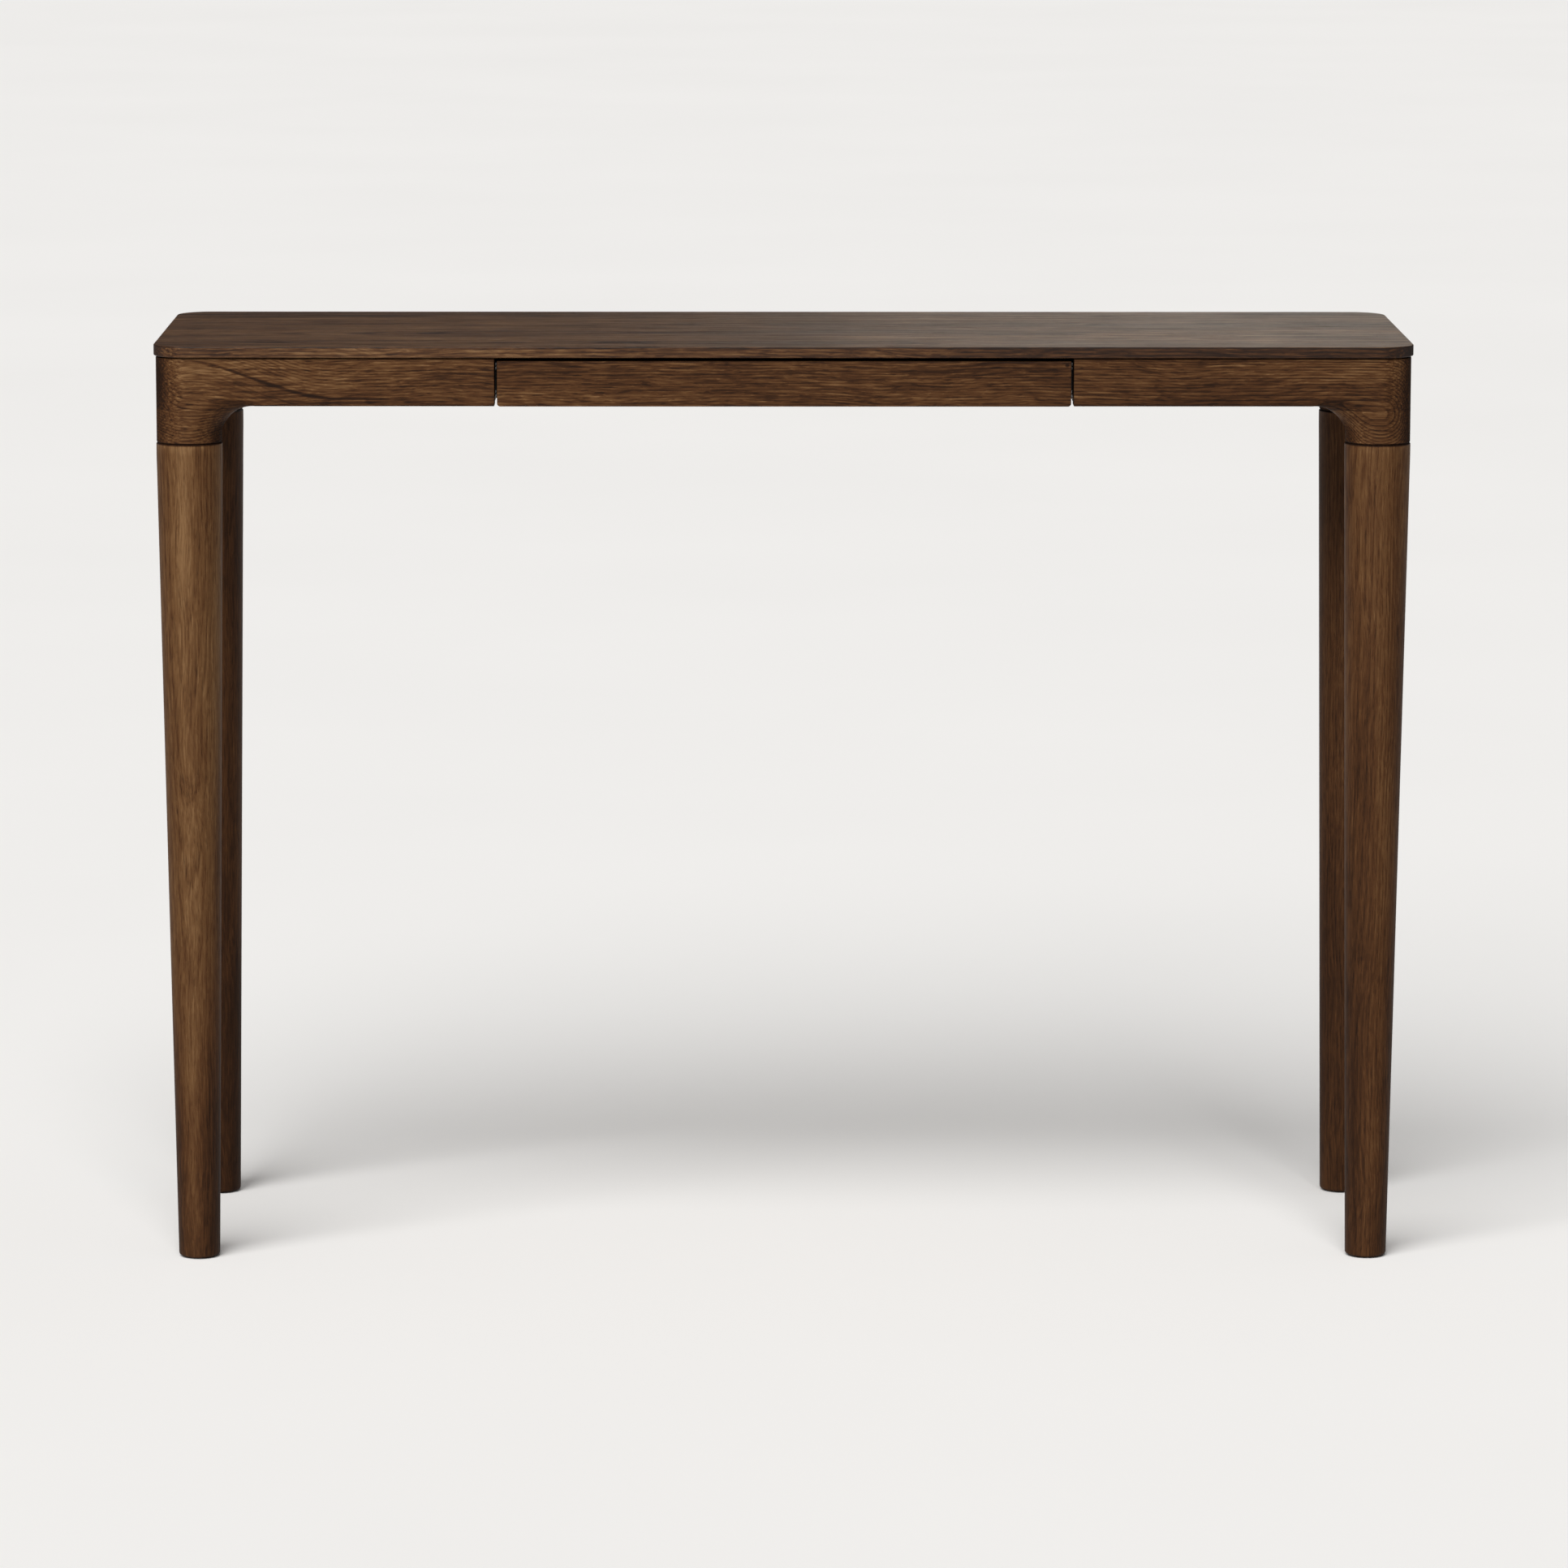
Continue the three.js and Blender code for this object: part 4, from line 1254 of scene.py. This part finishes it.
def sheet_outline(path, thickness, bend_radius, steps=4):
    """The outline of a bent sheet. path is its middle line, an open line of (a, b) pairs."""
    smooth = [Vector(path[0])]
    for before, here, after in zip(path, path[1:], path[2:]):
        here = Vector(here)
        enter = here + (Vector(before) - here).normalized() * bend_radius
        leave = here + (Vector(after) - here).normalized() * bend_radius
        for t in spaced(0, 1, steps):
            smooth.append(enter * (1 - t) ** 2 + here * 2 * t * (1 - t) + leave * t**2)
    smooth.append(Vector(path[-1]))
    left = []
    right = []
    for i, point in enumerate(smooth):
        along = (smooth[min(i + 1, len(smooth) - 1)] - smooth[max(i - 1, 0)]).normalized()
        normal = Vector((-along.y, along.x)) * thickness / 2
        left.append(point + normal)
        right.append(point - normal)
    return left + list(reversed(right))


def mirrored(path):
    return path + [(a, -b) for a, b in reversed(path)]


def extruded(node, sign, outline):
    """An outline drawn from the front to the back of a CAD node."""
    low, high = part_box(node)
    return skinned([
        [(sign * (opening_half - a), y, slide_middle.z + b) for a, b in outline]
        for y in (low.y, high.y)
    ])


def low_x(sign, start, end):
    """The lower of the x that belong to two values of a."""
    return min(sign * (opening_half - start), sign * (opening_half - end))


def punched(node, sign, path, start):
    """A bent sheet with screw holes and long slots through its web, from a = start."""
    x = low_x(sign, start, start + cut_depth)
    cuts = slide_holes(x, cut_depth)
    for place in slot_places:
        low = Vector((x, slide_front + place, slide_middle.z)) - slot_reach
        high = Vector((x + cut_depth, slide_front + place, slide_middle.z)) + slot_reach
        cuts.append(slab(low, high, "x", [slot_radius] * 4, 0, 6, 1))
    return combined(extruded(node, sign, sheet_outline(mirrored(path), sheet, sheet_bend)), cuts)


def ball(at, radius):
    return lathe(circle_part(radius, -math.pi / 2, math.pi / 2, 12), 24, at)


def ball_cage(node, sign, start, end, track):
    """Two strips joined by a web with a window, and steel balls held in round holes. The web
    begins at a = start, and the strips end at a = end."""
    low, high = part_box(node)
    path = mirrored([(end, track), (start + cage_sheet / 2, track)])
    cage = extruded(node, sign, sheet_outline(path, cage_sheet, cage_bend))
    x = low_x(sign, start - overcut, start + cage_sheet + overcut)
    window = slab(
        (x, low.y + window_margin, slide_middle.z - track + window_margin),
        (x + cage_sheet + 2 * overcut, high.y - window_margin, slide_middle.z + track - window_margin),
        "x", [window_radius] * 4, 0, 5, 1,
    )
    ball_x = sign * (opening_half - (start + cage_sheet + end) / 2)
    spacing = (high.y - low.y) / balls_in_row
    places = [
        (ball_x, low.y + spacing * (i + 0.5), slide_middle.z + b)
        for i in range(balls_in_row)
        for b in (-track, track)
    ]
    cage = combined(cage, [window] + [ball(place, ball_hole_radius) for place in places])
    for place in places:
        first = len(cage.faces)
        added = ball(place, ball_radius)
        spare = bpy.data.meshes.new("ball")
        added.to_mesh(spare)
        added.free()
        cage.from_mesh(spare)
        bpy.data.meshes.remove(spare)
        cage.faces.ensure_lookup_table()
        for face in cage.faces[first:]:
            face.material_index = 1
    return cage


# The middle member is a flanged channel: a web with a flange that reaches out both ways.
flange_bottom = middle_half - sheet / 2
flange_top = middle_half + sheet / 2
flange_near = 3 * MM
flange_far = 10.2 * MM
middle_web = 5.6 * MM
channel = mirrored([
    (middle_web + sheet, flange_bottom),
    (flange_far, flange_bottom),
    (flange_far, flange_top),
    (flange_near, flange_top),
    (flange_near, flange_bottom),
    (middle_web, flange_bottom),
])
lip = 10.9 * MM
lip_end = outer_half - 1.4 * MM
outer_web = 0.8 * MM
outer_path = [(lip, lip_end), (lip, outer_half), (outer_web, outer_half)]
inner_flange = 8.2 * MM
inner_web = 11.9 * MM
inner_path = [(inner_flange, inner_half), (inner_web, inner_half)]
inner_cut_start = 10.5 * MM
# Where a cage's web begins, where its strips end, and how high its balls run.
outer_cage = (1.7 * MM, 9.6 * MM, outer_track)
inner_cage = (7 * MM, 10.8 * MM, inner_track)
tracks = [slide_middle.z + sign * track for sign in (-1, 1) for track in (outer_track, inner_track)]
half_track = 1.6 * MM
slide_coat = coated_steel("coated slide steel", tracks, half_track)

for side, sign in sides.items():
    members = {
        f"slide_outer_{side}": punched(f"slide_outer_{side}", sign, outer_path, 0),
        f"slide_middle_{side}": extruded(f"slide_middle_{side}", sign, channel),
        f"slide_inner_{side}": punched(f"slide_inner_{side}", sign, inner_path, inner_cut_start),
    }
    for node, fine in members.items():
        piece(node, fine, [slide_coat])
    for place, sizes in {"outer": outer_cage, "inner": inner_cage}.items():
        node = f"ball_cage_{place}_{side}"
        piece(node, ball_cage(node, sign, *sizes), [cage_black, ball_steel])


# ---- floor, light and camera

def floor():
    """A plain pale floor of one large sheet."""
    reach = 90
    outline = ((-reach, -reach), (reach, -reach), (reach, reach), (-reach, reach))
    mesh = bmesh.new()
    mesh.faces.new([mesh.verts.new((x, y, 0)) for x, y in outline])
    made = bpy.data.meshes.new("floor")
    mesh.to_mesh(made)
    mesh.free()
    graph = Graph("pale floor")
    cloud = graph.noise(graph.point, 0.9, 4)
    colour = graph.mix(cloud, (0.92, 0.92, 0.917), (0.95, 0.95, 0.947))
    roughness = 0.75 + cloud * 0.1
    made.materials.append(graph.finish(colour, roughness, cloud, 0.05, 1 * MM, {"Specular IOR Level": 0.2}))
    obj = linked("floor", made)


def light(name, kind, towards, power, colour):
    """A light that shines from a direction."""
    data = bpy.data.lights.new(name, kind)
    data.energy = power
    data.color = colour
    obj = linked(name, data)
    obj.rotation_euler = towards.to_track_quat("Z", "Y").to_euler()
    return obj


def sun(name, azimuth, elevation, strength, spread, colour):
    """Azimuth is in degrees from the front, towards the right."""
    a = math.radians(azimuth)
    e = math.radians(elevation)
    towards = Vector((math.sin(a) * math.cos(e), -math.cos(a) * math.cos(e), math.sin(e)))
    obj = light(name, "SUN", towards, strength, colour)
    obj.data.angle = math.radians(spread)


def softbox(name, at, target, size, power, colour, receivers):
    obj = light(name, "AREA", Vector(at) - Vector(target), power, colour)
    obj.data.shape = "RECTANGLE"
    obj.data.size, obj.data.size_y = size
    obj.location = at
    obj.visible_camera = False
    obj.light_linking.receiver_collection = receivers


floor()

# The sheen lights only the top. The back light would mirror in it, so that lights the rest.
top_only = bpy.data.collections.new("the top")
below_top = bpy.data.collections.new("all but the top")
for obj in table_pieces.objects:
    receiver = top_only if obj.name == "tabletop_fine" else below_top
    receiver.objects.link(obj)

sun("key", -20, 48, 3.2, 50, (1.0, 0.985, 0.965))
softbox("front", (-1.2, -2.4, 2.3), (-0.1, 0.0, 0.8), (1.4, 1.0), 34, (1.0, 0.97, 0.93), table_pieces)
softbox("back", (1.1, 2.6, 2.9), (0.0, 0.1, 0.6), (1.6, 1.2), 60, (1.0, 0.97, 0.94), below_top)
softbox("sheen", (3.5, 30.0, 5.8), (0.3, 0.0, 0.88), (6.0, 3.0), 175, (1.0, 0.95, 0.84), top_only)

# The sky is a little brighter in front of the table than behind it.
world = bpy.data.worlds.new("studio")
world.use_nodes = True
tree = world.node_tree
sky = tree.nodes["Background"]
sky.inputs["Color"].default_value = (1.0, 0.985, 0.97, 1)
towards = tree.nodes.new("ShaderNodeSeparateXYZ")
fade = tree.nodes.new("ShaderNodeMapRange")
tree.links.new(tree.nodes.new("ShaderNodeTexCoord").outputs["Generated"], towards.inputs[0])
tree.links.new(towards.outputs["Y"], fade.inputs["Value"])
tree.links.new(fade.outputs[0], sky.inputs["Strength"])
for socket, value in {"From Min": -1, "From Max": 1, "To Min": 0.28, "To Max": 0.12}.items():
    fade.inputs[socket].default_value = value
bpy.context.scene.world = world
bpy.context.scene.view_settings.view_transform = "Standard"

# The photograph's viewpoint: 6.7 m in front of the table's middle, with a long lens. The
# angles are in radians, and the lens and sensor in millimetres.
camera_place = Vector((-0.05451, -6.72106, 1.54476))
camera_yaw = 0.00837
camera_pitch = -0.16286
camera_roll = 0.0012
camera_data = bpy.data.cameras.new("camera")
camera_data.sensor_width = 36
camera_data.lens = 159.02
camera_data.clip_end = 300
camera = linked("camera", camera_data)
turned = Matrix.Rotation(-camera_yaw, 4, "Z") @ Matrix.Rotation(math.pi / 2 + camera_pitch, 4, "X")
camera.matrix_world = Matrix.Translation(camera_place) @ turned @ Matrix.Rotation(camera_roll, 4, "Z")
bpy.context.scene.camera = camera
